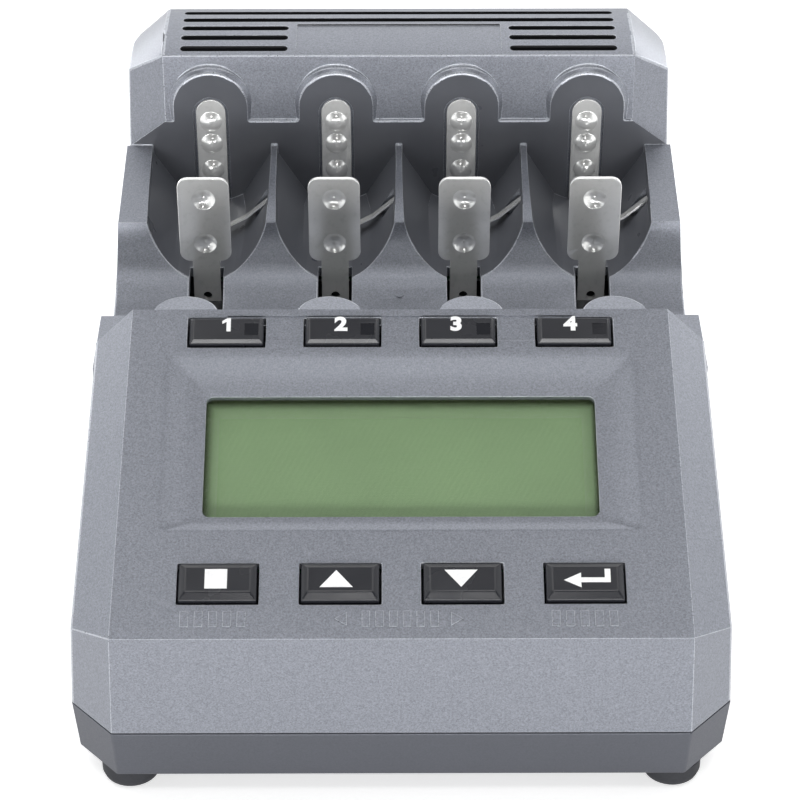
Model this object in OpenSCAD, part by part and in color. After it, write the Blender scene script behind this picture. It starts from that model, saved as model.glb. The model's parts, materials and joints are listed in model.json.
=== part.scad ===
// Four-bay desktop battery charger with a sloped control console, a finger scoop
// across the bays and a ventilated rear block. +X is right, +Y is rear, +Z is up.
// The origin is on the table, under the middle of the case.

/* [Case] */
// Overall length, front to rear
case_len = 151; // [149:0.5:156]
// Overall width at the parting line
case_w = 106; // [105:0.5:110]
// Height of the base's underside above the table
base_gap = 3.7; // [3:0.1:5]
// Height of the line where the upper shell meets the base
parting_z = 14.2; // [13.6:0.1:14.4]
// Thickness of the moulded walls
wall = 2; // [1.8:0.1:2.2]
// Draft of the moulded walls, in degrees
draft = 2; // [1:0.1:2.2]
// How far a front corner is cut back across the case
corner_x = 7; // [6:0.1:7.2]
// How far a front corner is cut back along the case
corner_y = 7.6; // [6.5:0.1:8.5]
// How far a rear corner is cut back across the case
rear_corner_x = 2; // [1:0.1:2.4]
// How far a rear corner is cut back along the case
rear_corner_y = 4.5; // [3:0.1:5]
// How far the base's ends draw in at the bottom
base_tuck_y = 1.7; // [1:0.1:2.2]
// How far the base's sides draw in at the bottom
base_tuck_x = 0.6; // [0.2:0.1:1]
// Height of the shadow groove at the parting line
seam_gap = 0.3; // [0.2:0.05:0.5]

/* [Console] */
// Height of the crease between the front face and the sloped panel
front_edge_z = 33.1; // [32.5:0.1:33.5]
// Height of the top edge of the sloped panel
console_z = 57.7; // [57:0.1:58.4]
// Distance of the panel's top edge from the case's front end
console_run = 56.1; // [55.5:0.1:56.5]
// Draft of the console's sides, in degrees
console_draft = 3; // [2.4:0.1:3.2]
// How far the console's side facets fall below the panel at the rear
console_facet = 6.6; // [5.8:0.1:7]
// Height of the shelf behind the console
shelf_z = 46.4; // [45.5:0.1:47]

/* [Rear block] */
// Distance of the bays' contact wall from the case's rear end
rear_block_len = 22.5; // [22.1:0.1:22.9]
// Height where the rear block's leaning face begins
lean_z = 53; // [52.4:0.1:53.6]
// Width of the ledge under the leaning face
lean_step = 0.6; // [0.3:0.1:0.8]
// Distance of the leaning face's top edge from the case's rear end
crown_len = 20.6; // [20.3:0.1:20.9]
// Height of the top edge of the leaning face
crown_z = 66; // [65.5:0.1:67]
// Radius of the crowned top
crown_r = 47; // [44:1:60]
// Distance of the crown's rear edge from the case's rear end
crown_setback = 1.3; // [1:0.1:1.6]
// Half width of the crowned top between its side facets
crown_half_w = 44.3; // [43.8:0.1:44.8]
// How far the rear block's side facets fall
rear_facet = 6.5; // [5.8:0.1:7]
// Length of the corner facet at the front of the rear block
rear_face_corner = 5.3; // [4.5:0.1:6]

/* [Bays] */
// Number of bays
bays = 4; // [4:1:4]
// Distance from one bay to the next
bay_pitch = 23.75; // [23.6:0.05:23.9]
// Radius of the cell troughs
trough_r = 11.25; // [11:0.05:11.35]
// Height of the troughs' lowest line
trough_z = 35.6; // [35.2:0.1:36]
// Height of the ribs at the contact wall
rib_rear_z = 47.9; // [47.2:0.1:48.6]
// Height of the ribs at the scoop
rib_front_z = 44.3; // [43.6:0.1:45]
// Radius of the finger scoop across the bays
scoop_r = 17.9; // [17.4:0.1:18.3]
// Distance of the finger scoop's axis in front of the contact wall
scoop_back = 39.5; // [39:0.1:40]
// Height of the finger scoop's axis
scoop_z = 50.2; // [50:0.1:50.6]
// Radius of the round contact pads at the contact wall
pad_r = 7; // [6.6:0.1:7.2]
// Height of the round contact pads' centres
pad_z = 56.2; // [55.8:0.1:56.6]
// Width of the slope round the pads
pad_slope = 0.85; // [0.5:0.05:0.9]
// Distance of a flat at the rear of a trough's side from the trough's axis
flat_d = 9.85; // [9.6:0.05:10.2]
// Angle by which the flats run out towards the scoop
flat_turn = 4; // [3.5:0.1:5]
// Radius of the round lobes behind the console
lobe_r = 5.4; // [5:0.1:5.8]
// How far the lobes stand behind the console's top edge
lobe_reach = 4.2; // [3.8:0.1:4.4]

/* [Contacts] */
// Width of a fixed contact strip
strip_w = 5.6; // [5.4:0.05:6.2]
// Height of the top of a fixed contact strip
strip_top_z = 57.5; // [57:0.1:58]
// Thickness of a fixed contact strip
strip_t = 0.6; // [0.5:0.05:0.7]
// Heights of the bumps on a fixed contact strip
bump_heights = [52.8, 48.1, 42.4];
// Radius of a bump on a fixed contact strip
bump_r = 2.1; // [1.8:0.05:2.2]
// How far a bump stands out
bump_out = 1; // [0.7:0.05:1.1]
// Width of a sliding contact plate
plate_w = 9.45; // [9.2:0.05:9.8]
// Height of the top of a sliding contact plate
plate_top_z = 56; // [55.6:0.1:56.6]
// Height of the bottom of a sliding contact plate
plate_low_z = 38.6; // [38.2:0.1:39]
// Thickness of a sliding contact plate
plate_t = 0.8; // [0.7:0.05:0.9]
// Corner radius of a sliding contact plate
plate_corner = 1.9; // [1.4:0.1:2.2]
// Distance of a sliding contact plate's front face from the contact wall at rest
cell_room = 26.7; // [26.2:0.1:27]
// Heights of the dimples in a sliding contact plate
dimple_heights = [51.7, 42.4];
// Radius of a dimple in a sliding contact plate
dimple_r = 2.1; // [1.8:0.05:2.2]
// Depth of a dimple in a sliding contact plate
dimple_d = 0.9; // [0.6:0.05:1]
// Width of the stem under a sliding contact plate
stem_w = 5; // [4.6:0.1:5.2]
// Gap left in front of a sliding contact at the end of its travel
stop_gap = 0.9; // [0.6:0.1:1.5]
// Width of a slider's slot in the deck
slot_w = 6.2; // [6:0.1:6.6]
// Width of a temperature leaf
leaf_w = 2.6; // [2:0.1:3]
// Thickness of a temperature leaf
leaf_t = 0.35; // [0.3:0.05:0.4]
// Distance of a temperature leaf's root in front of the contact wall
leaf_back = 11.8; // [9:0.2:15]
// Angle by which a temperature leaf leans towards the console
leaf_lean = 18; // [8:1:20]

/* [Slider drive] */
// Width of a slider carriage
carriage_w = 9; // [8.6:0.1:9.2]
// Length of a slider carriage
carriage_len = 13; // [12:0.5:14]
// Height of a slider carriage
carriage_h = 4; // [3.6:0.1:4.2]
// Height of a slider carriage's underside
carriage_z = 25.8; // [25.6:0.1:26]
// Width of a slider rail
rail_w = 1.2; // [1:0.1:1.4]
// Outside radius of a slider spring
spring_r = 1.8; // [1.5:0.1:1.9]
// Wire diameter of a slider spring
spring_wire = 0.6; // [0.5:0.05:0.7]
// Turns of a slider spring
spring_turns = 9; // [7:1:10]
// Distance of a slider spring's rear anchor in front of the contact wall
anchor_back = 3.5; // [3:0.1:5]

/* [Keys and display] */
// Distance from one key to the next
key_pitch = 19.15; // [19:0.01:19.6]
// Width of a key
key_w = 12.2; // [11.8:0.1:12.9]
// Distance of the menu keys' middle from the crease, up the panel
menu_s = 9.55; // [9.2:0.05:9.8]
// Length of a menu key up the panel
menu_len = 6.5; // [6.2:0.1:6.8]
// Height of a menu key above the panel
menu_h = 1.2; // [1:0.1:1.4]
// Distance of the slot keys' middle from the crease, up the panel
slot_s = 56.15; // [55.9:0.05:56.3]
// Length of a slot key up the panel
slot_len = 5.1; // [4.9:0.1:5.3]
// Height of a slot key above the panel
slot_h = 1; // [0.8:0.1:1.2]
// Width of the slope round the top of a slot key
key_bevel = 0.6; // [0.4:0.05:0.8]
// Width of the slope at a menu key's sides
menu_side = 1; // [0.6:0.05:1.2]
// Width of the slope at a menu key's front
menu_front = 1.3; // [0.8:0.05:1.5]
// Depth of the channel that joins the slot keys
channel_d = 0.25; // [0.15:0.05:0.35]
// Length of that channel up the panel
channel_len = 4.8; // [4.4:0.1:5]
// Travel of a key
key_travel = 0.5; // [0.3:0.05:0.6]
// Gap between a key and its window
key_gap = 0.35; // [0.3:0.05:0.45]
// Side of the square lamp in a slot key
lamp_side = 2.3; // [2:0.1:2.6]
// Width of the display opening
display_w = 63.4; // [62:0.1:65]
// Length of the display opening up the panel
display_len = 22.3; // [21.5:0.1:23]
// Distance of the display's middle from the crease, up the panel
display_s = 33.1; // [32.8:0.05:33.4]
// Depth of the sloped dish round the display
dish_depth = 1; // [0.7:0.05:1.1]
// Width of the sloped dish at the display's sides
dish_side = 7.2; // [6:0.1:8]
// Width of the sloped dish above the display
dish_top = 8; // [7:0.1:9]
// Width of the sloped dish below the display
dish_low = 3.2; // [2.5:0.1:3.8]

/* [Vents] */
// Width of a vent slot in the crowned top
vent_w = 1.6; // [1.4:0.05:1.8]
// Distance from one vent slot to the next
vent_pitch = 3.57; // [3.4:0.01:3.7]
// Distance of the first vent slot behind the crown's front edge
vent_first = 2.15; // [1.9:0.05:2.6]
// Half width of the vent field
vent_half_w = 41.1; // [40:0.1:41.6]
// Half width of the plain field between the short slots
plain_half_w = 20.9; // [20.2:0.1:22]
// Half width of the bare name recess
name_half_w = 19.3; // [18:0.1:19.6]
// Depth of the bare name recess
name_d = 0.3; // [0.2:0.05:0.4]

/* [Sockets] */
// Place of the power inlet across the case
jack_x = 32; // [30:0.5:33]
// Height of the power inlet's axis
jack_z = 19.4; // [19:0.1:20]
// Radius of the power inlet's hole in the rear wall
jack_r = 4.3; // [4:0.1:4.5]
// Place of the firmware socket across the case
usb_x = 18; // [17:0.5:19]
// Height of the firmware socket's slot
usb_z = 17.4; // [17:0.1:18]

/* [Feet and inside] */
// Radius of a foot
foot_r = 4.8; // [4.4:0.1:5]
// Distance of a foot's middle from the case's side
foot_in_x = 9; // [8.8:0.1:10]
// Distance of a foot's middle from the case's end
foot_in_y = 7; // [6.5:0.1:8]
// Side of the square cooling fan
fan_side = 40; // [38:1:40]
// Depth of the cooling fan
fan_depth = 10; // [9:0.5:10]
// Height of the cooling fan's axis
fan_z = 39.5; // [39:0.1:40.5]
// Place of the cooling fan's axis across the case
fan_x = -14; // [-16:0.5:-13]
// Thickness of the circuit boards
board_t = 1.6; // [1.4:0.1:1.8]
// Height of the main board's underside
board_z = 10; // [9.5:0.1:10.2]
// Clearance between pieces that slide or drop in
clear = 0.3; // [0.25:0.05:0.35]

/* [Hidden] */
$fn = 48;
half_w = case_w / 2;
half_l = case_len / 2;
console_y = -half_l + console_run;
contact_wall_y = half_l - rear_block_len;
crown_front_y = half_l - crown_len;
scoop_y = contact_wall_y - scoop_back;
plate_y = contact_wall_y - cell_room;
leaf_y = contact_wall_y - leaf_back;
anchor_y = contact_wall_y - anchor_back;
foot_x = half_w - foot_in_x;
foot_y = half_l - foot_in_y;
big = 200;
over = 1;
hull_fn = 12;
rise = front_edge_z - parting_z;
crease_y = -half_l + rise * tan(draft);
crease_x = half_w - corner_x - rise * tan(draft);
panel_run = console_y - crease_y;
panel_rise = console_z - front_edge_z;
panel_slope = atan2(panel_rise, panel_run);
console_x = half_w - corner_x - (console_z - parting_z) * tan(draft);
facet_z = console_z - console_facet;
facet_x = half_w - (facet_z - parting_z) * tan(console_draft);
crown_rear_y = half_l - crown_setback;
foot_of_rear_y = half_l + over * crown_setback / (crown_z - parting_z);
crown_mid_y = (crown_front_y + crown_rear_y) / 2;
crown_chord = crown_rear_y - crown_front_y;
crown_axis_z = crown_z - sqrt(pow(crown_r, 2) - pow(crown_chord / 2, 2));
crown_half_a = asin(crown_chord / 2 / crown_r);
rear_facet_z = crown_z - rear_facet;
rear_facet_x = half_w - (rear_facet_z - parting_z) * tan(draft);
rear_facet_a = atan2(rear_facet, rear_facet_x - crown_half_w);
lean_y = contact_wall_y + lean_step;
lean_top_z = lean_z + 0.2;
trough_axis_z = trough_z + trough_r;
trough_front_y = console_y + lobe_reach + 0.6;
slider_travel = plate_y - trough_front_y - stop_gap;
flat_a = 31.6;
lobe_y = console_y + lobe_reach - lobe_r;
slot_rear_y = plate_y + 1.9;
floor_t = wall;
board_top = board_z + board_t;
screw_x = half_w - 9;
screw_front_y = -half_l + 25.5;
screw_rear_y = half_l - 17.5;
board_hole_x = half_w - 17;
board_hole_y = half_l - 23.5;
board_half_w = half_w - 13.5;
board_front_y = -half_l + 17.5;
board_rear_y = half_l - 3.5;
sink_half_w = half_w - 21;
sink_rear_y = contact_wall_y - 5;
sink_len = 40;
sink_fin = 1.6;
sink_fin_h = 8;
sink_base = 2.4;
screw_r = 1.3;
screw_head_r = 2.6;
screw_head_h = 1.8;
screw_seat_z = base_gap + 3.2;
screw_bite = 7;
boss_r = 3.4;
plate_stem_z = 26.8;
control_n = -6;
control_front_s = 3;
control_rear_s = 54.8;
control_half_w = half_w - 13;
post_x = control_half_w - 2.8;
post_s = [16.8, 48.5];
post_r = 2.6;
switch_h = 2.1;
switch_w = 6;
switch_front = 2.2;
switch_rear = 1.2;
slot_switch_s = slot_s - 1.85;
plunger_r = 0.8;
plunger_len = 1.8;
key_deep = 2.9;
key_shallow = 1.6;
slot_leg_len = 2.8;
channel_s = slot_s + 0.85;
flange = 0.7;
flange_t = 0.6;
pane_t = 1.65;
lcd_t = 1.8;
carriage_rear_y = plate_y + 6.7;
rail_lip = 1;
rail_low_z = carriage_z - clear - rail_lip;
fan_rear_y = half_l - 3.5;
fan_shaft_r = 1.1;
socket_rear_y = half_l - 2.5;
jack_bore_r = 3.3;
jack_bore_len = 10.6;
jack_half_w = 4.6;
lamp_x = 4.15;
lcd_top = -pane_t - dish_depth - 0.2;
lcd_w = display_w + 2.6;
lcd_len = display_len + 2.4;
lcd_frame_w = display_w + 5.4;
lcd_frame_len = display_len + 5;
dish_rings = [[1.16, -0.12], [0.84, 0.12], [0.58, 0.55], [0.28, 0.86], [0, 1]];

function aside(a, b) = [a[1] - b[1], b[0] - a[0]] / norm(b - a);
function bay_x(i) = (i - (bays - 1) / 2) * bay_pitch;
function key_x(i) = (i - 1.5) * key_pitch;
function arc(cy, cz, r, a0, a1, n) =
    [for (k = [0:n]) let (a = a0 + (a1 - a0) * k / n) [cy + r * cos(a), cz + r * sin(a)]];

feet_names = [for (i = [1:4]) str("foot_", i)];
slot_key_names = [for (i = [1:4]) str("slot_key_", i)];
slot_lamp_names = [for (i = [1:4]) str("slot_key_lamp_", i)];
menu_key_names = ["stop_key", "up_key", "down_key", "enter_key"];
plunger_names = [for (i = [1:8]) str("switch_plunger_", i)];
strip_names = [for (i = [1:4]) str("positive_contact_", i)];
plate_names = [for (i = [1:4]) str("slider_contact_", i)];
carriage_names = [for (i = [1:4]) str("slider_carriage_", i)];
spring_names = [for (i = [1:4]) str("slider_spring_", i)];
leaf_names = [for (i = [1:4]) str("temperature_leaf_", i)];

// Everything beyond the plane through three points, moved inwards by inset.
// Seen from outside, the points run anticlockwise.
module beyond(a, b, c, inset = 0) {
    raw = cross(b - a, c - a);
    n = raw / norm(raw);
    translate(a - n * inset)
        rotate([0, acos(n[2]), atan2(n[1], n[0])])
            translate([-big, -big, 0]) cube([2 * big, 2 * big, big]);
}

// A prism across the case, from an outline in [along, up] coordinates
module across(half) {
    rotate([90, 0, 90]) linear_extrude(2 * half, center = true) children();
}

// The case's drafted sides, as a block from y0 to y1 above height z0
module drafted_sides(y0, y1, z0, angle, inset) {
    w0 = half_w - inset - (z0 - parting_z) * tan(angle);
    w1 = half_w - inset - (big / 2 - parting_z) * tan(angle);
    translate([0, y1, 0]) rotate([90, 0, 0]) linear_extrude(y1 - y0)
        polygon([[-w0, z0], [w0, z0], [w1, big / 2], [-w1, big / 2]]);
}

// Children on the left and on the right
module both_sides() {
    children();
    mirror([1, 0, 0]) children();
}

// Frame of the sloped panel: x across, y up the slope from the crease, z out of it
module on_panel() {
    translate([0, crease_y, front_edge_z]) rotate([panel_slope, 0, 0]) children();
}

module front_corner_cut(inset = 0) {
    beyond([half_w - corner_x, -half_l, parting_z], [half_w, -half_l + corner_y, parting_z],
        [crease_x, crease_y, front_edge_z], inset);
}

module rear_corner_cut(inset = 0) {
    lift = 40 * tan(draft);
    beyond([half_w, half_l - rear_corner_y, parting_z], [half_w - rear_corner_x, half_l, parting_z],
        [half_w - rear_corner_x - lift / 2, half_l - lift / 2, parting_z + 40], inset);
}

// Console: drafted front body with a sloped panel and side facets
module console_form(inset = 0) {
    difference() {
        intersection() {
            across(big) offset(delta = -inset) polygon([
                [-half_l - over * tan(draft), parting_z - over],
                [crease_y, front_edge_z],
                [console_y, console_z],
                [console_y, parting_z - over]]);
            drafted_sides(-half_l - over, console_y + over, parting_z - over, console_draft, inset);
        }
        both_sides() {
            front_corner_cut(inset);
            beyond([crease_x, crease_y, front_edge_z], [facet_x, console_y, facet_z],
                [console_x, console_y, console_z], inset);
        }
    }
}

// Bay deck and rear block in one outline, with a crowned top
module deck_outline(front_y) {
    polygon(concat(
        [[front_y, parting_z - over], [foot_of_rear_y, parting_z - over], [crown_rear_y, crown_z]],
        arc(crown_mid_y, crown_axis_z, crown_r, 90 - crown_half_a, 90 + crown_half_a, 10),
        [[crown_front_y, crown_z], [lean_y, lean_top_z], [contact_wall_y, lean_z],
        [contact_wall_y, rib_rear_z], [scoop_y + scoop_r, rib_front_z], [scoop_y, shelf_z - 1],
        [scoop_y - scoop_r, shelf_z], [front_y, shelf_z]]));
}

// Side facet of the rear block, which follows the crown
module rear_facet_cut(inset = 0) {
    r = crown_r / cos(rear_facet_a);
    drop = sqrt(pow(r, 2) - pow(crown_chord / 2, 2));
    translate([crown_half_w, crown_mid_y, crown_z]) rotate([0, rear_facet_a, 0])
        difference() {
            translate([-big / 4, -crown_chord, -2 * over - inset]) cube([big / 2, 2 * crown_chord, 30]);
            translate([-big / 2, 0, -drop]) rotate([0, 90, 0]) cylinder(r = r - inset, h = big, $fn = 96);
        }
}

// Corner facet at the front of the rear block, down to a sloped edge at the contact wall
module rear_face_corner_cut(inset = 0) {
    edge = [crown_half_w, contact_wall_y, lean_z + 0.1];
    intersection() {
        beyond([crown_half_w, lean_y, lean_top_z],
            [rear_facet_x, crown_front_y + rear_face_corner, rear_facet_z],
            [crown_half_w, crown_front_y, crown_z], inset);
        beyond(edge, edge + [6.6, 0, -5], edge + [0, 5, -2.9], -inset);
        translate([crown_half_w - 1, contact_wall_y - inset, 0]) cube([big, big, big]);
    }
}

module deck_form(inset = 0) {
    difference() {
        intersection() {
            across(big) offset(delta = -inset) deck_outline(console_y - wall / 4 - 2 * inset);
            drafted_sides(console_y - 4 * wall, half_l + over, parting_z - over, draft, inset);
        }
        both_sides() {
            rear_corner_cut(inset);
            rear_facet_cut(inset);
            rear_face_corner_cut(inset);
        }
    }
}

// One cell trough, from the contact wall to the lobe, grown by t and open upwards
module trough(t = 0) {
    y0 = trough_front_y - t;
    y1 = contact_wall_y + t;
    translate([0, y1, trough_axis_z]) rotate([90, 0, 0]) {
        cylinder(r = trough_r + t, h = y1 - y0, $fn = 96);
        if (t == 0) translate([-trough_r, 0, 0]) cube([2 * trough_r, 40, y1 - y0]);
    }
}

// Flats that narrow the rear of a trough for thin cells and run out at the scoop
module trough_flats() {
    both_sides() translate([0, contact_wall_y, trough_axis_z]) rotate([0, flat_a, 0])
        translate([flat_d, 0, 0]) rotate(flat_turn)
            translate([0, -scoop_r - 14, -6]) cube([3, scoop_r + 18, 12]);
}

module scoop(t = 0) {
    translate([0, scoop_y, scoop_z]) rotate([0, 90, 0])
        cylinder(r = scoop_r + t, h = 2 * big, center = true, $fn = 96);
}

// Rounded contact pad that carries the contact wall up over the leaning face
module contact_pad() {
    r = pad_r + pad_slope;
    translate([0, contact_wall_y, pad_z]) rotate([-90, 0, 0]) rotate_extrude($fn = 64)
        polygon([[0, 0], [pad_r, 0], [r, 1], [r, 3], [0, 3]]);
    translate([0, contact_wall_y, 0]) linear_extrude(pad_z)
        polygon([[-pad_r, 0], [pad_r, 0], [r, 1], [r, 3], [-r, 3], [-r, 1]]);
}

module case_form() {
    difference() {
        union() {
            console_form();
            difference() {
                deck_form();
                scoop();
                for (i = [0:bays - 1]) translate([bay_x(i), 0, 0]) difference() {
                    trough();
                    trough_flats();
                }
            }
        }
        translate([-big, -big, parting_z - big]) cube([2 * big, 2 * big, big]);
    }
    for (i = [0:bays - 1]) translate([bay_x(i), 0, 0]) {
        intersection() {
            contact_pad();
            translate([-half_w, 0, lean_z - over]) cube([case_w, big, big]);
        }
        lobe();
    }
}

// Half-round lobe behind the console, above the front end of a trough
module lobe() {
    intersection() {
        translate([0, lobe_y, trough_z]) cylinder(r = lobe_r, h = console_z - trough_z, $fn = 64);
        translate([-lobe_r, console_y, 0]) cube([2 * lobe_r, big, big]);
    }
}

// Rails that carry one slider carriage under its slot, with the spring's anchor
module slider_rails() {
    y0 = carriage_rear_y - carriage_len - slider_travel - 1.5;
    y1 = carriage_rear_y + over;
    x0 = carriage_w / 2 + clear;
    both_sides() {
        translate([x0, y0, rail_low_z]) cube([rail_w, y1 - y0, 14]);
        translate([x0 - 1, y0, rail_low_z]) cube([1 + rail_w, y1 - y0, rail_lip]);
    }
    translate([-2.4, anchor_y, carriage_z - 1]) cube([4.8, wall, 14]);
}

// Walls, bosses and rails that stand in the hollow of the upper shell
module inner_walls() {
    scoop(wall);
    for (i = [0:bays - 1]) translate([bay_x(i), 0, 0]) {
        trough(wall);
        slider_rails();
        lobe();
    }
    both_sides() {
        translate([bay_x(bays - 1) + trough_r - 1, trough_front_y - wall, trough_z + wall])
            cube([half_w, contact_wall_y - trough_front_y + 2 * wall, trough_r + wall]);
        for (y = [screw_front_y, screw_rear_y]) translate([screw_x, y, parting_z])
            cylinder(r = boss_r, h = big);
        translate([crown_half_w - 4, contact_wall_y, lean_z - 9]) cube([half_w, 6, 16]);
    }
    for (x = [-1, 1], z = [-1, 1])
        translate([fan_x + x * (fan_side / 2 - 4), fan_rear_y, fan_z + z * (fan_side / 2 - 4)])
            rotate([-90, 0, 0]) cylinder(r = 2.6, h = 5);
    on_panel() for (x = [-post_x, post_x], s = post_s)
        translate([x, s, control_n]) cylinder(r = post_r, h = 10);
}

module hollow() {
    difference() {
        union() {
            console_form(wall);
            deck_form(wall);
            intersection() {
                translate([-half_w, -half_l, parting_z - wall]) cube([case_w, case_len, 2 * wall]);
                base_plug(wall);
            }
        }
        inner_walls();
    }
}

// Window for a key in the panel. Its shallow part stays clear of the console's rear wall.
module key_window(len, deep_len) {
    w = key_w + 2 * key_gap;
    l = len + 2 * key_gap;
    translate([-w / 2, -l / 2, -key_shallow - key_travel - 0.2]) cube([w, l, 6]);
    translate([-w / 2, -l / 2, -2 * wall]) cube([w, deep_len + 2 * key_gap, 6]);
}

// Sloped dish round the display and the opening in it
module display_cut() {
    translate([0, display_s, 0]) {
        for (k = [0:len(dish_rings) - 2]) hull() {
            dish_ring(dish_rings[k]);
            dish_ring(dish_rings[k + 1]);
        }
        translate([0, 0, -wall - over]) linear_extrude(wall + 2 * over)
            rounded(display_w, display_len, 1.2);
    }
}

// One level of the dish: at[0] is its share of the dish's widths, at[1] of its depth
module dish_ring(at) {
    r = 1.2;
    w = display_w + 2 * dish_side * at[0] - 2 * r;
    l = display_len + (dish_top + dish_low) * at[0] - 2 * r;
    translate([0, (dish_top - dish_low) / 2 * at[0], -dish_depth * at[1]]) linear_extrude(0.01)
        offset(r = r, $fn = hull_fn) square([w, l], center = true);
}

module rounded(w, l, r) {
    for (x = [-1, 1], y = [-1, 1]) translate([x * (w / 2 - r), y * (l / 2 - r)]) circle(r = r, $fn = 24);
    square([w - 2 * r, l], center = true);
    square([w, l - 2 * r], center = true);
}

// One round-ended vent slot through the crowned top, from x0 to x1
module vent(x0, x1) {
    translate([0, 0, crown_z - 4 * wall]) linear_extrude(8 * wall) {
        translate([x0 + vent_w / 2, -vent_w / 2]) square([x1 - x0 - vent_w, vent_w]);
        for (x = [x0 + vent_w / 2, x1 - vent_w / 2]) translate([x, 0]) circle(d = vent_w, $fn = 24);
    }
}

module top_vents() {
    for (k = [0:4]) translate([0, crown_front_y + vent_first + k * vent_pitch, 0]) {
        if (k < 3) both_sides() vent(plain_half_w, vent_half_w);
        else vent(-vent_half_w, vent_half_w);
    }
    y0 = crown_front_y + vent_first - vent_w / 2 + 0.2;
    len = 2 * vent_pitch + vent_w + 0.6;
    difference() {
        translate([-name_half_w, y0, crown_z - 4]) cube([2 * name_half_w, len, 8]);
        translate([0, crown_mid_y, crown_axis_z]) rotate([0, 90, 0])
            cylinder(r = crown_r - name_d, h = big, center = true, $fn = 180);
    }
}

module rear_openings() {
    for (k = [-4:4]) let (z = k * 3.6, half = sqrt(pow(18.6, 2) - pow(z, 2)))
        translate([fan_x - half, half_l - 5, fan_z + z - 0.9]) cube([2 * half, 10, 1.8]);
    translate([jack_x, half_l - 5, jack_z]) rotate([-90, 0, 0]) cylinder(r = jack_r, h = 10);
    translate([usb_x - 4.2, half_l - 5, usb_z - 1.8]) cube([8.4, 10, 3.6]);
}

// Recess for a fixed contact strip, round-topped like the strip
module strip_recess() {
    w = strip_w + 1;
    translate([0, contact_wall_y + strip_t + 0.2, 0]) rotate([90, 0, 0]) linear_extrude(strip_t + 1) {
        translate([-w / 2, trough_z]) square([w, strip_top_z + 0.5 - w / 2 - trough_z]);
        translate([0, strip_top_z + 0.5 - w / 2]) circle(d = w);
    }
}

module leaf_pocket() {
    lean = 0.9;
    translate([8.2, leaf_y - leaf_w / 2 - clear - lean, trough_axis_z - 6.6])
        cube([3.9, leaf_w + 2 * clear + lean, 4]);
}

module upper_shell() {
    color([0.54, 0.55, 0.58]) difference() {
        case_form();
        hollow();
        for (i = [0:bays - 1]) translate([bay_x(i), 0, 0]) {
            translate([-slot_w / 2, trough_front_y, trough_z - 16])
                cube([slot_w, slot_rear_y - trough_front_y, 18]);
            strip_recess();
            leaf_pocket();
        }
        on_panel() {
            display_cut();
            for (i = [0:3]) translate([key_x(i), 0, 0]) {
                translate([0, menu_s, 0]) key_window(menu_len, menu_len);
                translate([0, slot_s, 0]) key_window(slot_len, slot_leg_len);
            }
            translate([key_x(0), channel_s - channel_len / 2, -channel_d])
                cube([key_x(3) - key_x(0), channel_len, over]);
            for (x = [-post_x, post_x], s = post_s) translate([x, s, control_n])
                cylinder(r = 0.9, h = 4.4, $fn = 24);
        }
        top_vents();
        rear_openings();
        both_sides() for (y = [screw_front_y, screw_rear_y])
            translate([screw_x, y, parting_z - over])
                cylinder(r = screw_r, h = over + screw_bite + 1, $fn = 24);
    }
    color([0.54, 0.55, 0.58]) floor_nub();
}

// Small round moulding mark in the scoop
module floor_nub() {
    a = 27;
    translate([0, scoop_y + scoop_r * sin(a), scoop_z - scoop_r * cos(a)])
        rotate([a, 0, 0]) translate([0, 0, -0.5]) cylinder(r = 0.8, h = 0.75, $fn = 24);
}

// Children at the four screws of the main board
module at_board_holes() {
    for (x = [-board_hole_x, board_hole_x], y = [-board_hole_y, board_hole_y]) translate([x, y, 0]) children();
}

// Drafted block of the base, shrunk by inset
module base_plug(inset = 0) {
    difference() {
        intersection() {
            across(big) polygon([
                [-half_l + base_tuck_y + inset, base_gap + inset],
                [half_l - base_tuck_y - inset, base_gap + inset],
                [half_l - inset, parting_z], [half_l - inset, parting_z + 4],
                [-half_l + inset, parting_z + 4], [-half_l + inset, parting_z]]);
            rotate([90, 0, 0]) linear_extrude(2 * big, center = true) polygon([
                [-half_w + base_tuck_x + inset, base_gap], [half_w - base_tuck_x - inset, base_gap],
                [half_w - inset, parting_z], [half_w - inset, parting_z + 4],
                [-half_w + inset, parting_z + 4], [-half_w + inset, parting_z]]);
        }
        both_sides() {
            beyond([half_w - corner_x, -half_l, parting_z],
                [half_w - corner_x - 0.3, -half_l + base_tuck_y, base_gap],
                [half_w, -half_l + corner_y, parting_z], inset);
            beyond([half_w, half_l - rear_corner_y, parting_z],
                [half_w - base_tuck_x, half_l - rear_corner_y - 0.9, base_gap],
                [half_w - rear_corner_x, half_l, parting_z], inset);
        }
    }
}

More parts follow.
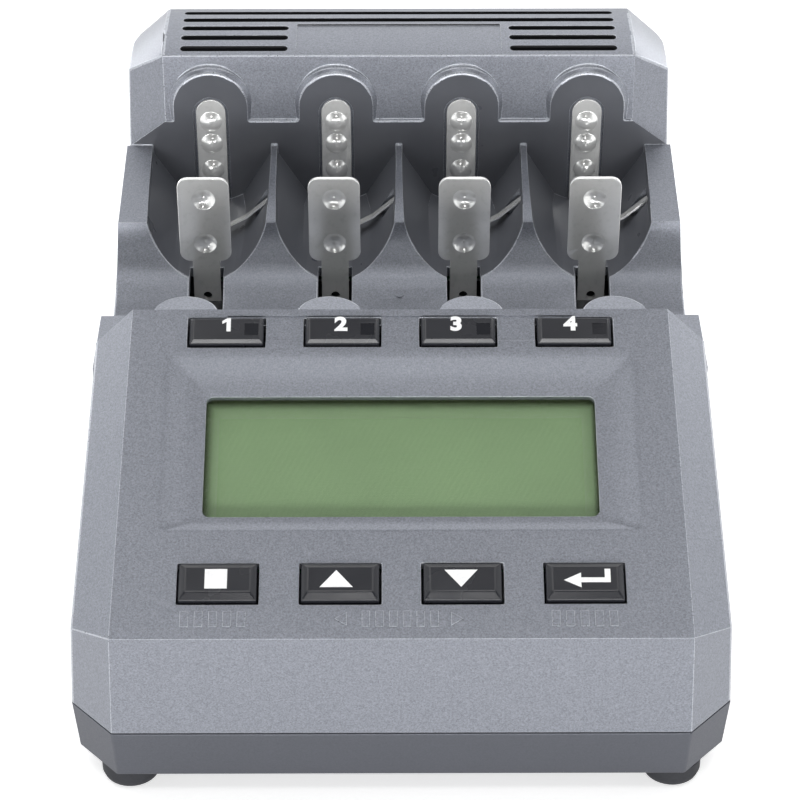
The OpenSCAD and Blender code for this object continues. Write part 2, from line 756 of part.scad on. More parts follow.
module base_shell() {
    color([0.36, 0.37, 0.39]) difference() {
        union() {
            difference() {
                base_plug();
                base_plug(wall);
                translate([-big, -big, parting_z]) cube([2 * big, 2 * big, big]);
                difference() {
                    translate([-big, -big, parting_z - seam_gap]) cube([2 * big, 2 * big, seam_gap + over]);
                    base_plug(wall / 2);
                }
            }
            difference() {
                intersection() {
                    base_plug(wall / 2);
                    union() {
                        both_sides() for (y = [screw_front_y, screw_rear_y])
                            translate([screw_x, y, base_gap]) cylinder(r = boss_r, h = parting_z - base_gap);
                        at_board_holes() translate([0, 0, base_gap])
                            cylinder(r = 2.8, h = board_z - base_gap);
                    }
                }
                at_board_holes() translate([0, 0, base_gap + wall]) cylinder(r = 1, h = 10, $fn = 24);
            }
        }
        both_sides() {
            for (y = [screw_front_y, screw_rear_y]) translate([screw_x, y, 0]) {
                cylinder(r = screw_r + 0.3, h = 30, $fn = 24);
                cylinder(r = screw_head_r + 0.1, h = screw_seat_z, $fn = 32);
            }
            for (y = [-foot_y, foot_y]) translate([foot_x, y, 0]) {
                cylinder(r = 2.2, h = 20, $fn = 32);
            }
        }
        for (x = [-1, 1], k = [-5:5]) translate([x * 20 - 9, k * 5 - 0.9, base_gap - over])
            cube([18, 1.8, wall + 2 * over]);
    }
}

// Rubber foot with a stud that is pulled through the base
module foot(i) {
    x = i % 2 == 0 ? -foot_x : foot_x;
    y = i < 2 ? -foot_y : foot_y;
    color([0.13, 0.13, 0.14]) translate([x, y, 0]) rotate_extrude() polygon([
        [0, 0], [foot_r - 0.9, 0], [foot_r - 0.3, 0.5], [foot_r, 1.3], [foot_r, base_gap],
        [2.1, base_gap], [2.1, base_gap + wall], [2.9, base_gap + wall + 0.2],
        [1.6, base_gap + wall + 2], [0, base_gap + wall + 2]]);
}

// Cross-head screws that hold the two shells together
module case_screws() {
    color([0.6, 0.6, 0.62]) both_sides() for (y = [screw_front_y, screw_rear_y])
        translate([screw_x, y, screw_seat_z]) {
            difference() {
                translate([0, 0, -screw_head_h]) cylinder(r = screw_head_r, h = screw_head_h, $fn = 32);
                for (a = [0, 90]) rotate(a) translate([-1.6, -0.3, -2]) cube([3.2, 0.6, 1]);
            }
            cylinder(r = screw_r, h = parting_z - screw_seat_z + screw_bite, $fn = 24);
        }
}

module display_window() {
    color([0.75, 0.8, 0.75, 0.4]) on_panel() translate([0, display_s, 0]) {
        translate([0, 0, -wall]) linear_extrude(wall - dish_depth - 0.3)
            rounded(display_w - 0.1, display_len - 0.1, 1.15);
        translate([0, 0, -pane_t - dish_depth - 0.2]) linear_extrude(pane_t + dish_depth + 0.2 - wall)
            rounded(display_w + 3.4, display_len + 3.4, 1.2);
    }
}

module lcd_panel() {
    color([0.48, 0.59, 0.44]) on_panel() translate([0, display_s, lcd_top - lcd_t])
        linear_extrude(lcd_t) square([lcd_w, lcd_len], center = true);
}

// Frame that holds the liquid crystal panel on the control board
module lcd_frame() {
    color([0.85, 0.85, 0.83]) on_panel() translate([0, display_s, control_n]) difference() {
        linear_extrude(lcd_top - control_n) square([lcd_frame_w, lcd_frame_len], center = true);
        translate([0, 0, lcd_top - control_n - lcd_t]) linear_extrude(lcd_t + over)
            square([lcd_w, lcd_len], center = true);
        translate([0, 0, -over]) linear_extrude(10) square([display_w - 4, display_len - 4], center = true);
    }
}

module control_board() {
    color([0.1, 0.35, 0.18]) on_panel() translate([0, 0, control_n - board_t]) difference() {
        translate([-control_half_w, control_front_s, 0])
            cube([2 * control_half_w, control_rear_s - control_front_s, board_t]);
        for (x = [-post_x, post_x], s = post_s) translate([x, s, -over])
            cylinder(r = 1.2, h = board_t + 2 * over, $fn = 24);
    }
}

// Eight switch bodies on the control board, each with a well for its plunger
module switch_bodies() {
    color([0.15, 0.15, 0.16]) on_panel() for (i = [0:3], s = [menu_s, slot_switch_s])
        translate([key_x(i), s, control_n]) difference() {
            translate([-switch_w / 2, -switch_front, 0])
                cube([switch_w, switch_front + switch_rear, switch_h]);
            translate([0, 0, 0.4]) cylinder(r = plunger_r + 0.15, h = switch_h, $fn = 32);
        }
}

// Plunger of one key switch, under the key it follows
module switch_plunger(i) {
    s = i < 4 ? slot_switch_s : menu_s;
    color([0.7, 0.68, 0.6]) on_panel() translate([key_x(i % 4), s, -key_deep - plunger_len])
        cylinder(r = plunger_r, h = plunger_len, $fn = 32);
}

// Key cap with a sloped rim, a skirt and a retaining flange
module key_cap(len, h, leg_len, side, front) {
    w = key_w - 2 * side;
    l = len - side - front;
    translate([-key_w / 2, -len / 2, -key_shallow]) cube([key_w, len, key_shallow + h - key_bevel]);
    translate([-key_w / 2, -len / 2, -key_deep]) cube([key_w, leg_len, key_deep]);
    hull() {
        translate([-key_w / 2, -len / 2, h - key_bevel - 0.01]) cube([key_w, len, 0.01]);
        translate([-w / 2, -len / 2 + front, h - 0.01]) cube([w, l, 0.01]);
    }
    translate([-key_w / 2 - flange, -len / 2, -key_deep]) cube([key_w + 2 * flange, leg_len, flange_t]);
}

module slot_key(i) {
    color([0.17, 0.18, 0.2]) on_panel() translate([key_x(i), slot_s, 0]) difference() {
        key_cap(slot_len, slot_h, slot_leg_len, key_bevel, key_bevel);
        translate([lamp_x - lamp_side / 2, -lamp_side / 2, -key_deep - over])
            cube([lamp_side, lamp_side, key_deep + slot_h + 2 * over]);
    }
}

// Light pipe of a slot key
module slot_key_lamp(i) {
    color([0.08, 0.08, 0.09]) on_panel() translate([key_x(i), slot_s, 0])
        translate([lamp_x - lamp_side / 2, -lamp_side / 2, -key_shallow])
            cube([lamp_side, lamp_side, key_shallow + slot_h - 0.1]);
}

module menu_key(i) {
    color([0.17, 0.18, 0.2]) on_panel() translate([key_x(i), menu_s, 0])
        key_cap(menu_len, menu_h, menu_len, menu_side, menu_front);
}

// Fixed contact strip with three domed bumps
module positive_contact(i) {
    back_y = contact_wall_y + strip_t + 0.2;
    low_z = trough_z + 0.3;
    color([0.8, 0.8, 0.78]) translate([bay_x(i), back_y, 0]) {
        rotate([90, 0, 0]) linear_extrude(strip_t) {
            translate([-strip_w / 2, low_z]) square([strip_w, strip_top_z - strip_w / 2 - low_z]);
            translate([0, strip_top_z - strip_w / 2]) circle(d = strip_w);
        }
        for (z = bump_heights) translate([0, -strip_t, z]) rotate([90, 0, 0]) dome(bump_r, bump_out);
    }
}

// Round dome of a given foot radius and height
module dome(r, h) {
    ball = (pow(r, 2) + pow(h, 2)) / 2 / h;
    intersection() {
        translate([0, 0, h - ball]) sphere(r = ball, $fn = 48);
        translate([0, 0, -0.2]) cylinder(r = r + 1, h = h + 1);
    }
}

// Sliding contact: a round-cornered plate with two dimples, on a flanged stem
module slider_contact(i) {
    color([0.8, 0.8, 0.78]) translate([bay_x(i), plate_y, 0]) difference() {
        union() {
            translate([0, plate_t, (plate_top_z + plate_low_z) / 2]) rotate([90, 0, 0])
                linear_extrude(plate_t) rounded(plate_w, plate_top_z - plate_low_z, plate_corner);
            translate([-stem_w / 2, 0, plate_stem_z]) cube([stem_w, plate_t, plate_low_z + 2 - plate_stem_z]);
            for (x = [-stem_w / 2, stem_w / 2 - 0.5]) translate([x, 0, carriage_z + carriage_h + 0.2])
                cube([0.5, plate_t + 1, plate_low_z - 1.2 - carriage_z - carriage_h]);
            for (z = dimple_heights) translate([0, plate_t, z]) rotate([-90, 0, 0])
                dome(dimple_r, dimple_d);
        }
        for (z = dimple_heights) translate([0, -0.01, z]) rotate([-90, 0, 0])
            dome(dimple_r, dimple_d);
        translate([0, -over, 31]) rotate([-90, 0, 0]) cylinder(r = 0.8, h = 4, $fn = 24);
    }
}

// Plastic carriage that holds the stem and runs in the rails
module slider_carriage(i) {
    color([0.2, 0.2, 0.21]) translate([bay_x(i), 0, carriage_z]) difference() {
        translate([-carriage_w / 2, carriage_rear_y - carriage_len, 0])
            cube([carriage_w, carriage_len, carriage_h]);
        translate([-stem_w / 2, plate_y, plate_stem_z - carriage_z]) cube([stem_w, plate_t, carriage_h]);
    }
}

// Extension spring from the carriage back to its anchor
module slider_spring(i) {
    len = anchor_y - carriage_rear_y;
    sides = 5;
    steps = 10 * spring_turns;
    rc = spring_r - spring_wire / 2;
    run = len - spring_wire;
    pts = [for (k = [0:steps], j = [0:sides - 1]) let (a = 360 * k / 10, b = 360 * j / sides,
        r = rc + spring_wire / 2 * cos(b))
        [r * cos(a), spring_wire / 2 + run * k / steps + spring_wire / 2 * sin(b), r * sin(a)]];
    quads = [for (k = [0:steps - 1], j = [0:sides - 1]) let (j1 = (j + 1) % sides)
        [k * sides + j, k * sides + j1, (k + 1) * sides + j1, (k + 1) * sides + j]];
    caps = [[for (j = [sides - 1:-1:0]) j], [for (j = [0:sides - 1]) steps * sides + j]];
    color([0.6, 0.6, 0.6]) translate([bay_x(i), carriage_rear_y, carriage_z + carriage_h / 2])
        polyhedron(points = pts, faces = concat(quads, caps));
}

// Sprung leaf that touches the cell's side, bent along the trough
module temperature_leaf(i) {
    mid = [[11.2, -3.75], [6.9, -7.2], [2.2, -9.5]];
    out = [aside(mid[0], mid[1]), aside(mid[0], mid[2]), aside(mid[1], mid[2])] * leaf_t / 2;
    color([0.8, 0.8, 0.78]) translate([bay_x(i), leaf_y, trough_axis_z + mid[0][1]])
        rotate([-leaf_lean, 0, 0]) translate([0, leaf_w / 2, -mid[0][1]]) rotate([90, 0, 0]) linear_extrude(leaf_w)
            polygon(concat([for (k = [0:2]) mid[k] + out[k]], [for (k = [2:-1:0]) mid[k] - out[k]]));
}

// Square fan frame with a round duct, four arms and a motor seat
module fan_frame() {
    color([0.1, 0.1, 0.11]) translate([fan_x, fan_rear_y, fan_z]) rotate([90, 0, 0]) difference() {
        union() {
            difference() {
                translate([-fan_side / 2, -fan_side / 2, 0]) cube([fan_side, fan_side, fan_depth]);
                translate([0, 0, -over]) cylinder(r = fan_side / 2 - 1.2, h = fan_depth + 2 * over, $fn = 72);
            }
            for (a = [45:90:315]) rotate(a) translate([0, -1, 0]) cube([fan_side / 2, 2, 1.4]);
            cylinder(r = 9, h = 1.4);
            cylinder(r = fan_shaft_r, h = 6.7, $fn = 32);
        }
        for (x = [-1, 1], y = [-1, 1]) translate([x * (fan_side / 2 - 4), y * (fan_side / 2 - 4), -over])
            cylinder(r = 1.7, h = fan_depth + 2 * over, $fn = 24);
    }
}

// Fan rotor: a hub on the frame's shaft, with seven pitched blades
module fan_rotor() {
    color([0.14, 0.14, 0.15]) translate([fan_x, fan_rear_y, fan_z]) rotate([90, 0, 0])
        translate([0, 0, 1.8]) difference() {
            union() {
                cylinder(r = 9, h = 7);
                for (k = [0:6]) rotate(k * 360 / 7) translate([8, 0, 3.5]) rotate([32, 0, 0])
                    translate([0, -4.6, -0.5]) cube([9.6, 9.2, 1]);
            }
            translate([0, 0, -over]) cylinder(r = fan_shaft_r + 0.05, h = 6.2, $fn = 32);
        }
}

// Power inlet: a square-backed barrel socket with a centre pin
module dc_jack() {
    color([0.08, 0.08, 0.09]) translate([jack_x, 0, 0]) {
        difference() {
            translate([-jack_half_w, socket_rear_y - 13, board_top])
                cube([2 * jack_half_w, 13, jack_z + jack_half_w - board_top]);
            translate([0, socket_rear_y + over, jack_z]) rotate([90, 0, 0])
                cylinder(r = jack_bore_r, h = jack_bore_len + over);
        }
        translate([0, socket_rear_y - 5.4, jack_z]) rotate([90, 0, 0]) cylinder(r = 1, h = 6, $fn = 24);
    }
}

module usb_socket() {
    color([0.7, 0.7, 0.72]) translate([usb_x, 0, 0]) difference() {
        translate([-4, socket_rear_y - 9, board_top]) cube([8, 9, usb_z + 1.7 - board_top]);
        translate([-3.5, socket_rear_y - 7, usb_z - 1.2]) cube([7, 8, 2.4]);
    }
}

module main_board() {
    color([0.1, 0.35, 0.18]) translate([0, 0, board_z]) difference() {
        translate([-board_half_w, board_front_y, 0])
            cube([2 * board_half_w, board_rear_y - board_front_y, board_t]);
        at_board_holes() translate([0, 0, -over]) cylinder(r = 1.2, h = 4, $fn = 24);
    }
}

// Finned heat sink on the main board
module heat_sink() {
    pitch = (2 * sink_half_w - sink_fin) / 12;
    color([0.7, 0.7, 0.71]) translate([-sink_half_w, sink_rear_y - sink_len, board_top]) {
        cube([2 * sink_half_w, sink_len, sink_base]);
        for (k = [0:12]) translate([k * pitch, 0, sink_base / 2]) cube([sink_fin, sink_len, sink_fin_h]);
    }
}

module board_screws() {
    color([0.6, 0.6, 0.62]) {
        at_board_holes() translate([0, 0, board_top]) {
            cylinder(r = 2, h = 1.4, $fn = 24);
            translate([0, 0, -5.4]) cylinder(r = 1, h = 5.4, $fn = 24);
        }
        on_panel() for (x = [-post_x, post_x], s = post_s)
            translate([x, s, control_n - board_t]) {
                translate([0, 0, -1.4]) cylinder(r = 2, h = 1.4, $fn = 24);
                cylinder(r = 0.9, h = 5.4, $fn = 24);
            }
    }
}

upper_shell();
base_shell();
case_screws();
display_window();
lcd_panel();
lcd_frame();
control_board();
switch_bodies();
main_board();
heat_sink();
board_screws();
fan_frame();
fan_rotor();
dc_jack();
usb_socket();
for (i = [0:3]) {
    foot(i);
    slot_key(i);
    slot_key_lamp(i);
    menu_key(i);
    positive_contact(i);
    slider_contact(i);
    slider_carriage(i);
    slider_spring(i);
    temperature_leaf(i);
}
for (i = [0:7]) {
    switch_plunger(i);
}
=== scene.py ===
"""Looks of a desktop charger for round cells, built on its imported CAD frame.

The frame gives every rigid part its place. This script dresses it: moulded
shells with softened edges, key caps with their signs, nickel contacts, coil
springs, a liquid crystal display, and a plain studio round them.
"""

from __future__ import annotations

import json
import logging
import math
from dataclasses import dataclass, field
from enum import Enum, IntEnum
from functools import cached_property
from typing import Callable, Iterable, Sequence

import bmesh
import bpy
import numpy as np
from mathutils import Matrix, Vector
from mathutils.geometry import delaunay_2d_cdt
from mathutils.kdtree import KDTree

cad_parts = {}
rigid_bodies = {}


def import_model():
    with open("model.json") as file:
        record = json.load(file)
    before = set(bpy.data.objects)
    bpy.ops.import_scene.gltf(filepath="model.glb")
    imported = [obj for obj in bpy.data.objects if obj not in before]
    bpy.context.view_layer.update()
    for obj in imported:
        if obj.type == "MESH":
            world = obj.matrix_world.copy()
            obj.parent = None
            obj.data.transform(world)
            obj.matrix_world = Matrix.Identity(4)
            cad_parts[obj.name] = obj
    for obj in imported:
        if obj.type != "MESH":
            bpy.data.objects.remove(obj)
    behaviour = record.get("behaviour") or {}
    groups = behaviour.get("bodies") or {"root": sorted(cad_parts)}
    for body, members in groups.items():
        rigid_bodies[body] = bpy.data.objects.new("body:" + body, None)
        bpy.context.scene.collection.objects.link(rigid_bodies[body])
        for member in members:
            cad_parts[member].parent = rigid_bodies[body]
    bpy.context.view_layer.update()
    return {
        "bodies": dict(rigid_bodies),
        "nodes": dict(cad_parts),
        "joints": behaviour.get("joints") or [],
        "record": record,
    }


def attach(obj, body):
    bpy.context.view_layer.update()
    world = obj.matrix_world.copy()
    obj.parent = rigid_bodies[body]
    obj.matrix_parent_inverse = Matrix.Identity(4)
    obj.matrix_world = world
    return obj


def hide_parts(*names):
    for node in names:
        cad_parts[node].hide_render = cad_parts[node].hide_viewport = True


LOG = logging.getLogger("charger")
MM = 0.001
Triple = tuple[float, float, float]
Pair = tuple[float, float]
Placer = Callable[[float, float, float], Triple]
Socket = bpy.types.NodeSocket
FRAME: dict = {}


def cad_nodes() -> dict[str, bpy.types.Object]:
    """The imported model's nodes by name."""
    return FRAME["nodes"]


class Sign(Enum):
    """What a menu key shows."""

    STOP = "stop_key"
    UP = "up_key"
    DOWN = "down_key"
    ENTER = "enter_key"


SIGN_SHAPES: dict[Sign, tuple[tuple[Pair, ...], ...]] = {
    Sign.STOP: (((-1.75, -1.7), (1.75, -1.7), (1.75, 1.7), (-1.75, 1.7)),),
    Sign.UP: (((-2.6, -1.5), (2.6, -1.5), (0.0, 1.5)),),
    Sign.DOWN: (((-2.6, 1.5), (0.0, -1.5), (2.6, 1.5)),),
    Sign.ENTER: (
        ((-3.7, -0.35), (-1.0, -1.65), (-1.0, 0.95)),
        ((-1.0, -0.75), (3.6, -0.75), (3.6, 1.6), (2.7, 1.6), (2.7, 0.1), (-1.0, 0.1)),
    ),
}


class Skin(IntEnum):
    """Which kind of moulded surface a face of the shell has."""

    SPARKLE = 0
    # Smooth moulding of the bays, in a darker tone that paints their shade.
    SMOOTH = 1
    # Inside the case and on the vent slot walls, near black: painted shade.
    INNER = 2
    # Rounded edges in a lighter coat: a painted highlight.
    WORN = 3


class Graph:
    """A small builder for the node tree of one material or world."""

    def __init__(self, name: str, world: bool = False) -> None:
        """Start an empty tree.

        Args:
            name: The name of the material or world.
            world: True for a world.
        """
        self.owner = (bpy.data.worlds if world else bpy.data.materials).new(name)
        self.owner.use_nodes = True
        self.tree = self.owner.node_tree
        self.tree.nodes.clear()
        self.output = self.tree.nodes.new("ShaderNodeOutputWorld" if world else "ShaderNodeOutputMaterial")

    def add(self, kind: str, **settings: object) -> bpy.types.Node:
        """Add a node.

        Args:
            kind: The node's type name.
            **settings: Attributes of the node, or values and sockets for its inputs by name.

        Returns:
            The new node.
        """
        node = self.tree.nodes.new(kind)
        for key, value in settings.items():
            if hasattr(node, key) and key != "color":
                setattr(node, key, value)
            else:
                self.fill(node.inputs[key.replace("_", " ").title().replace("Ior", "IOR")], value)
        return node

    def fill(self, socket: Socket, value: object) -> None:
        """Give an input a value, or join it to another node's output."""
        if isinstance(value, Socket):
            self.link(value, socket)
        elif isinstance(value, tuple) and len(value) == 3 and socket.type == "RGBA":
            socket.default_value = (*value, 1.0)
        else:
            socket.default_value = value

    def link(self, source: Socket, target: Socket) -> None:
        """Join two sockets."""
        self.tree.links.new(source, target)

    @cached_property
    def coords(self) -> Socket:
        """The object's own coordinates, in metres."""
        return self.add("ShaderNodeTexCoord").outputs["Object"]

    def noise(self, size: float, detail: float = 2.0, scale: Triple = (1, 1, 1)) -> Socket:
        """Noise whose blotches are about as large as stated.

        Args:
            size: Size of the blotches in millimetres.
            detail: Octaves of finer noise.
            scale: Extra factors along the axes, which stretch the blotches.

        Returns:
            The noise value's socket.
        """
        place = self.add("ShaderNodeMapping", scale=scale, vector=self.coords).outputs["Vector"]
        pattern = {"scale": 1 / MM / size, "detail": detail, "roughness": 0.55}
        return self.add("ShaderNodeTexNoise", vector=place, **pattern).outputs["Fac"]

    def specks(self, size: float) -> Socket:
        """One random grey for each small cell of the surface, of a size in millimetres."""
        node = self.add("ShaderNodeTexVoronoi", scale=1 / MM / size, vector=self.coords)
        return self.add("ShaderNodeSeparateColor", color=node.outputs["Color"]).outputs["Red"]

    def ramp(self, source: Socket, stops: Sequence[tuple[float, Sequence[float]]]) -> Socket:
        """A colour ramp over a value.

        Args:
            source: The value's socket.
            stops: Positions with their colours.

        Returns:
            The colour's socket.
        """
        node = self.add("ShaderNodeValToRGB")
        band = node.color_ramp
        while len(band.elements) < len(stops):
            band.elements.new(0.5)
        for element, (place, colour) in zip(band.elements, stops):
            element.position = place
            element.color = (*colour[:3], 1.0)
        self.link(source, node.inputs["Fac"])
        return node.outputs["Color"]

    def spread(
        self, source: Socket, low: float, high: float | Socket, frm: Pair = (0.0, 1.0), kind: str = "LINEAR"
    ) -> Socket:
        """Map a value onto another range.

        Args:
            source: The value's socket.
            low: Result at the start of the range.
            high: Result at its end.
            frm: The range that the value is read over.
            kind: How it runs between them.

        Returns:
            The mapped value's socket.
        """
        ends = {"from_min": frm[0], "from_max": frm[1], "to_min": low, "to_max": high}
        return self.add("ShaderNodeMapRange", interpolation_type=kind, value=source, **ends).outputs["Result"]

    def both(self, operation: str, one: Socket, two: Socket) -> Socket:
        """Two values put together by one of the Math node's operations."""
        node = self.add("ShaderNodeMath", operation=operation)
        self.link(one, node.inputs[0])
        self.link(two, node.inputs[1])
        return node.outputs[0]

    def bump(self, source: Socket, height: float, strength: float = 1.0) -> Socket:
        """A bump from a value.

        Args:
            source: The height's socket, from 0 to 1.
            height: Full height in millimetres.
            strength: Share of the effect.

        Returns:
            The normal's socket.
        """
        node = self.add("ShaderNodeBump", distance=height * MM, strength=strength)
        self.link(source, node.inputs["Height"])
        return node.outputs["Normal"]

    def surface(self, **inputs: object) -> bpy.types.Material:
        """Finish the material with one principled shader, whose inputs are given by name."""
        shader = self.add("ShaderNodeBsdfPrincipled", **inputs)
        self.link(shader.outputs["BSDF"], self.output.inputs["Surface"])
        return self.owner

    def seen(self) -> Socket:
        """One for camera, glossy and transmission rays, else zero."""
        path = self.add("ShaderNodeLightPath")
        total = path.outputs["Is Camera Ray"]
        for name in ("Is Glossy Ray", "Is Transmission Ray"):
            total = self.both("MAXIMUM", total, path.outputs[name])
        return total


def linear(level: float) -> float:
    """Scene-linear value of a display level from 0 to 255."""
    share = level / 255.0
    return share / 12.92 if share <= 0.04045 else ((share + 0.055) / 1.055) ** 2.4


def tone(red: float, green: float, blue: float) -> Triple:
    """Scene-linear colour of a display colour from 0 to 255."""
    return (linear(red), linear(green), linear(blue))


@dataclass(frozen=True)
class SparkleCoat:
    """Metallic grey lacquer over a fine spark-eroded texture."""

    name: str
    colour: Triple
    speck: float = 0.16
    contrast: float = 0.26
    grain: float = 0.02
    roughness: float = 0.38
    metallic: float = 0.6

    def build(self) -> bpy.types.Material:
        """The coat as a material."""
        g = Graph(self.name)
        specks = g.specks(self.speck)
        cloud = g.noise(0.32, 3.0)
        blend = g.both("ADD", g.spread(specks, 0.0, 0.5), g.spread(cloud, 0.0, 0.5, (0.25, 0.75)))
        dark = tuple(c * (1 - self.contrast) for c in self.colour)
        light = tuple(min(1.0, c * (1 + self.contrast)) for c in self.colour)
        colour = g.ramp(blend, [(0.12, dark), (0.5, self.colour), (0.88, light)])
        rough = g.spread(specks, self.roughness - 0.07, self.roughness + 0.07)
        return g.surface(
            base_color=colour,
            metallic=self.metallic,
            roughness=rough,
            normal=g.bump(cloud, self.grain, 0.5),
        )


@dataclass(frozen=True)
class SmoothMoulding:
    """Bare moulded plastic with a soft sheen."""

    name: str
    colour: Triple
    roughness: float = 0.34
    grain: float = 0.006

    def build(self) -> bpy.types.Material:
        """The moulding as a material."""
        g = Graph(self.name)
        flow = g.noise(9.0, 3.0)
        fine = g.noise(0.5, 3.0)
        low = tuple(c * 0.93 for c in self.colour)
        high = tuple(min(1.0, c * 1.07) for c in self.colour)
        return g.surface(
            base_color=g.ramp(flow, [(0.3, low), (0.7, high)]),
            roughness=g.spread(flow, self.roughness - 0.03, self.roughness + 0.04, (0.3, 0.7)),
            normal=g.bump(fine, self.grain, 0.4),
        )


@dataclass(frozen=True)
class Nickel:
    """Nickel-plated sheet, nearly polished, with faint rolling marks and a few dull spots."""

    name: str
    colour: Triple
    roughness: float = 0.32
    metallic: float = 0.85
    along: Triple = (1.0, 1.0, 0.3)

    def build(self) -> bpy.types.Material:
        """The plating as a material."""
        g = Graph(self.name)
        lines = g.noise(0.5, 2.0, self.along)
        spots = g.noise(1.2, 4.0)
        dull = tuple(c * 0.9 for c in self.colour)
        return g.surface(
            base_color=g.ramp(spots, [(0.30, dull), (0.48, self.colour), (0.9, self.colour)]),
            metallic=self.metallic,
            roughness=g.spread(lines, self.roughness - 0.02, self.roughness + 0.03, (0.3, 0.7)),
            normal=g.bump(lines, 0.001, 0.3),
        )


@dataclass(frozen=True)
class DisplayGlow:
    """Green liquid crystal layer with a painted shadow towards its rim, by fades of stated widths in
    millimetres.
    """

    name: str
    colour: Triple
    rim: Triple
    half: Pair
    centre: Triple
    slope: float
    side_shadows: Pair = (1.3, 0.7)
    end_shadows: Pair = (1.3, 0.1)

    def build(self) -> bpy.types.Material:
        """The layer as a material."""
        g = Graph(self.name)
        shift = Matrix.Rotation(-self.slope, 3, "X") @ Vector(self.centre)
        place = g.add("ShaderNodeMapping", vector_type="POINT", rotation=(-self.slope, 0, 0), vector=g.coords)
        place.inputs["Location"].default_value = tuple(-c for c in shift)
        split = g.add("ShaderNodeSeparateXYZ", vector=place.outputs["Vector"])
        (across, along), (left, right), (top, bottom) = self.half, self.side_shadows, self.end_shadows
        # Each fade paints the shadow that the window's edge casts on the layer, wider at the top and left.
        shadow_rims = (
            ("X", left - across, -across),
            ("X", across - right, across),
            ("Y", along - top, along),
            ("Y", bottom - along, -along),
        )
        edges = [g.spread(split.outputs[axis], 0.0, 1.0, (start * MM, end * MM)) for axis, start, end in shadow_rims]
        shadow_share = edges[0]
        for edge in edges[1:]:
            shadow_share = g.both("MAXIMUM", shadow_share, edge)
        low, high = (tuple(c * share for c in self.colour) for share in (0.97, 1.03))
        body = g.ramp(g.noise(14.0, 2.0), [(0.3, low), (0.7, high)])
        mix = g.add("ShaderNodeMix", data_type="RGBA")
        for index, value in ((0, shadow_share), (6, body), (7, self.rim)):
            g.fill(mix.inputs[index], value)
        return g.surface(base_color=mix.outputs[2], roughness=0.5)


@dataclass(frozen=True)
class ClearPane:
    """Thin clear window over the display."""

    name: str
    tint: Triple = (0.02, 0.02, 0.02)

    def build(self) -> bpy.types.Material:
        """The pane as a material."""
        g = Graph(self.name)
        ripple = g.noise(20.0, 1.0)
        return g.surface(
            base_color=self.tint,
            roughness=g.spread(ripple, 0.02, 0.05),
            alpha=0.1,
            ior=1.45,
            normal=g.bump(ripple, 0.004, 0.2),
        )


@dataclass(frozen=True)
class CircuitBoard:
    """Green solder mask over copper tracks."""

    name: str

    def build(self) -> bpy.types.Material:
        """The board as a material."""
        g = Graph(self.name)
        tracks = g.add(
            "ShaderNodeTexBrick",
            scale=160.0,
            color1=(0.012, 0.085, 0.03),
            color2=(0.016, 0.11, 0.04),
            mortar=(0.03, 0.17, 0.06),
            vector=g.coords,
        )
        bump = g.bump(g.noise(1.0), 0.02, 0.3)
        return g.surface(base_color=tracks.outputs["Color"], roughness=0.35, normal=bump)


@dataclass(frozen=True)
class RubberGrip:
    """Matte rubber with a dusty grain."""

    name: str
    colour: Triple

    def build(self) -> bpy.types.Material:
        """The rubber as a material."""
        g = Graph(self.name)
        dust = g.noise(0.4, 4.0)
        pale = tuple(min(1.0, c * 1.7) for c in self.colour)
        return g.surface(
            base_color=g.ramp(dust, [(0.35, self.colour), (0.8, pale)]),
            roughness=g.spread(dust, 0.72, 0.9),
            normal=g.bump(dust, 0.03, 0.5),
        )


@dataclass(frozen=True)
class WhitePrint:
    """Pad-printed ink, a touch uneven."""

    name: str
    colour: Triple = (0.93, 0.93, 0.93)

    def build(self) -> bpy.types.Material:
        """The ink as a material."""
        g = Graph(self.name)
        patch = g.noise(0.6, 3.0)
        low = tuple(c * 0.93 for c in self.colour)
        colour = g.ramp(patch, [(0.3, low), (0.6, self.colour)])
        return g.surface(base_color=colour, roughness=g.spread(patch, 0.45, 0.6))


class Palette:
    """Every finish of the object, made once."""

    def __init__(self) -> None:
        """Build the materials."""
        self.case = SparkleCoat("case_sparkle_grey", tone(132, 135, 143)).build()
        # A lighter copy of the case coat for rounded edges: a painted highlight along them.
        self.edge_highlight = SparkleCoat("case_sparkle_painted_highlight", tone(172, 175, 182), roughness=0.34).build()
        # The bays' smooth moulding is real; its tone, darker than the case, is painted shade in the troughs
        # and on the contact wall.
        self.bay = SmoothMoulding("bay_smooth_shaded_grey", tone(93, 95, 101), roughness=0.3).build()
        # Near black for faces inside the case and on the vent slot walls: painted shade.
        self.inner = SmoothMoulding("case_inner_painted_shade", tone(26, 27, 30), roughness=0.6).build()
        # Darker than the upper shell's coat: painted shade on the base shell.
        self.base = SparkleCoat("base_sparkle_shaded_grey", tone(88, 90, 97), contrast=0.12, roughness=0.5).build()
        self.key = SmoothMoulding("key_satin_black", tone(38, 39, 44), roughness=0.26, grain=0.003).build()
        self.lamp = SmoothMoulding("lamp_smoke", tone(30, 31, 36), roughness=0.12, grain=0.0).build()
        self.nickel = Nickel("contact_nickel", tone(247, 247, 245), roughness=0.17, metallic=0.5).build()
        self.steel = Nickel("fastener_zinc", tone(150, 152, 158), roughness=0.3, along=(1, 1, 1)).build()
        self.rubber = RubberGrip("foot_rubber", tone(40, 41, 45)).build()
        self.black = SmoothMoulding("plain_black", tone(34, 35, 38), roughness=0.42).build()
        self.board = CircuitBoard("board_green").build()
        self.pane = ClearPane("pane_clear").build()
        self.print_white = WhitePrint("print_white").build()
        self.frame = SmoothMoulding("frame_white", tone(215, 214, 208), roughness=0.45).build()
        self.plunger = SmoothMoulding("plunger_tan", tone(176, 160, 128), roughness=0.4).build()
        self.sink = Nickel("sink_extruded", tone(190, 191, 194), roughness=0.34, along=(1, 0.05, 1)).build()


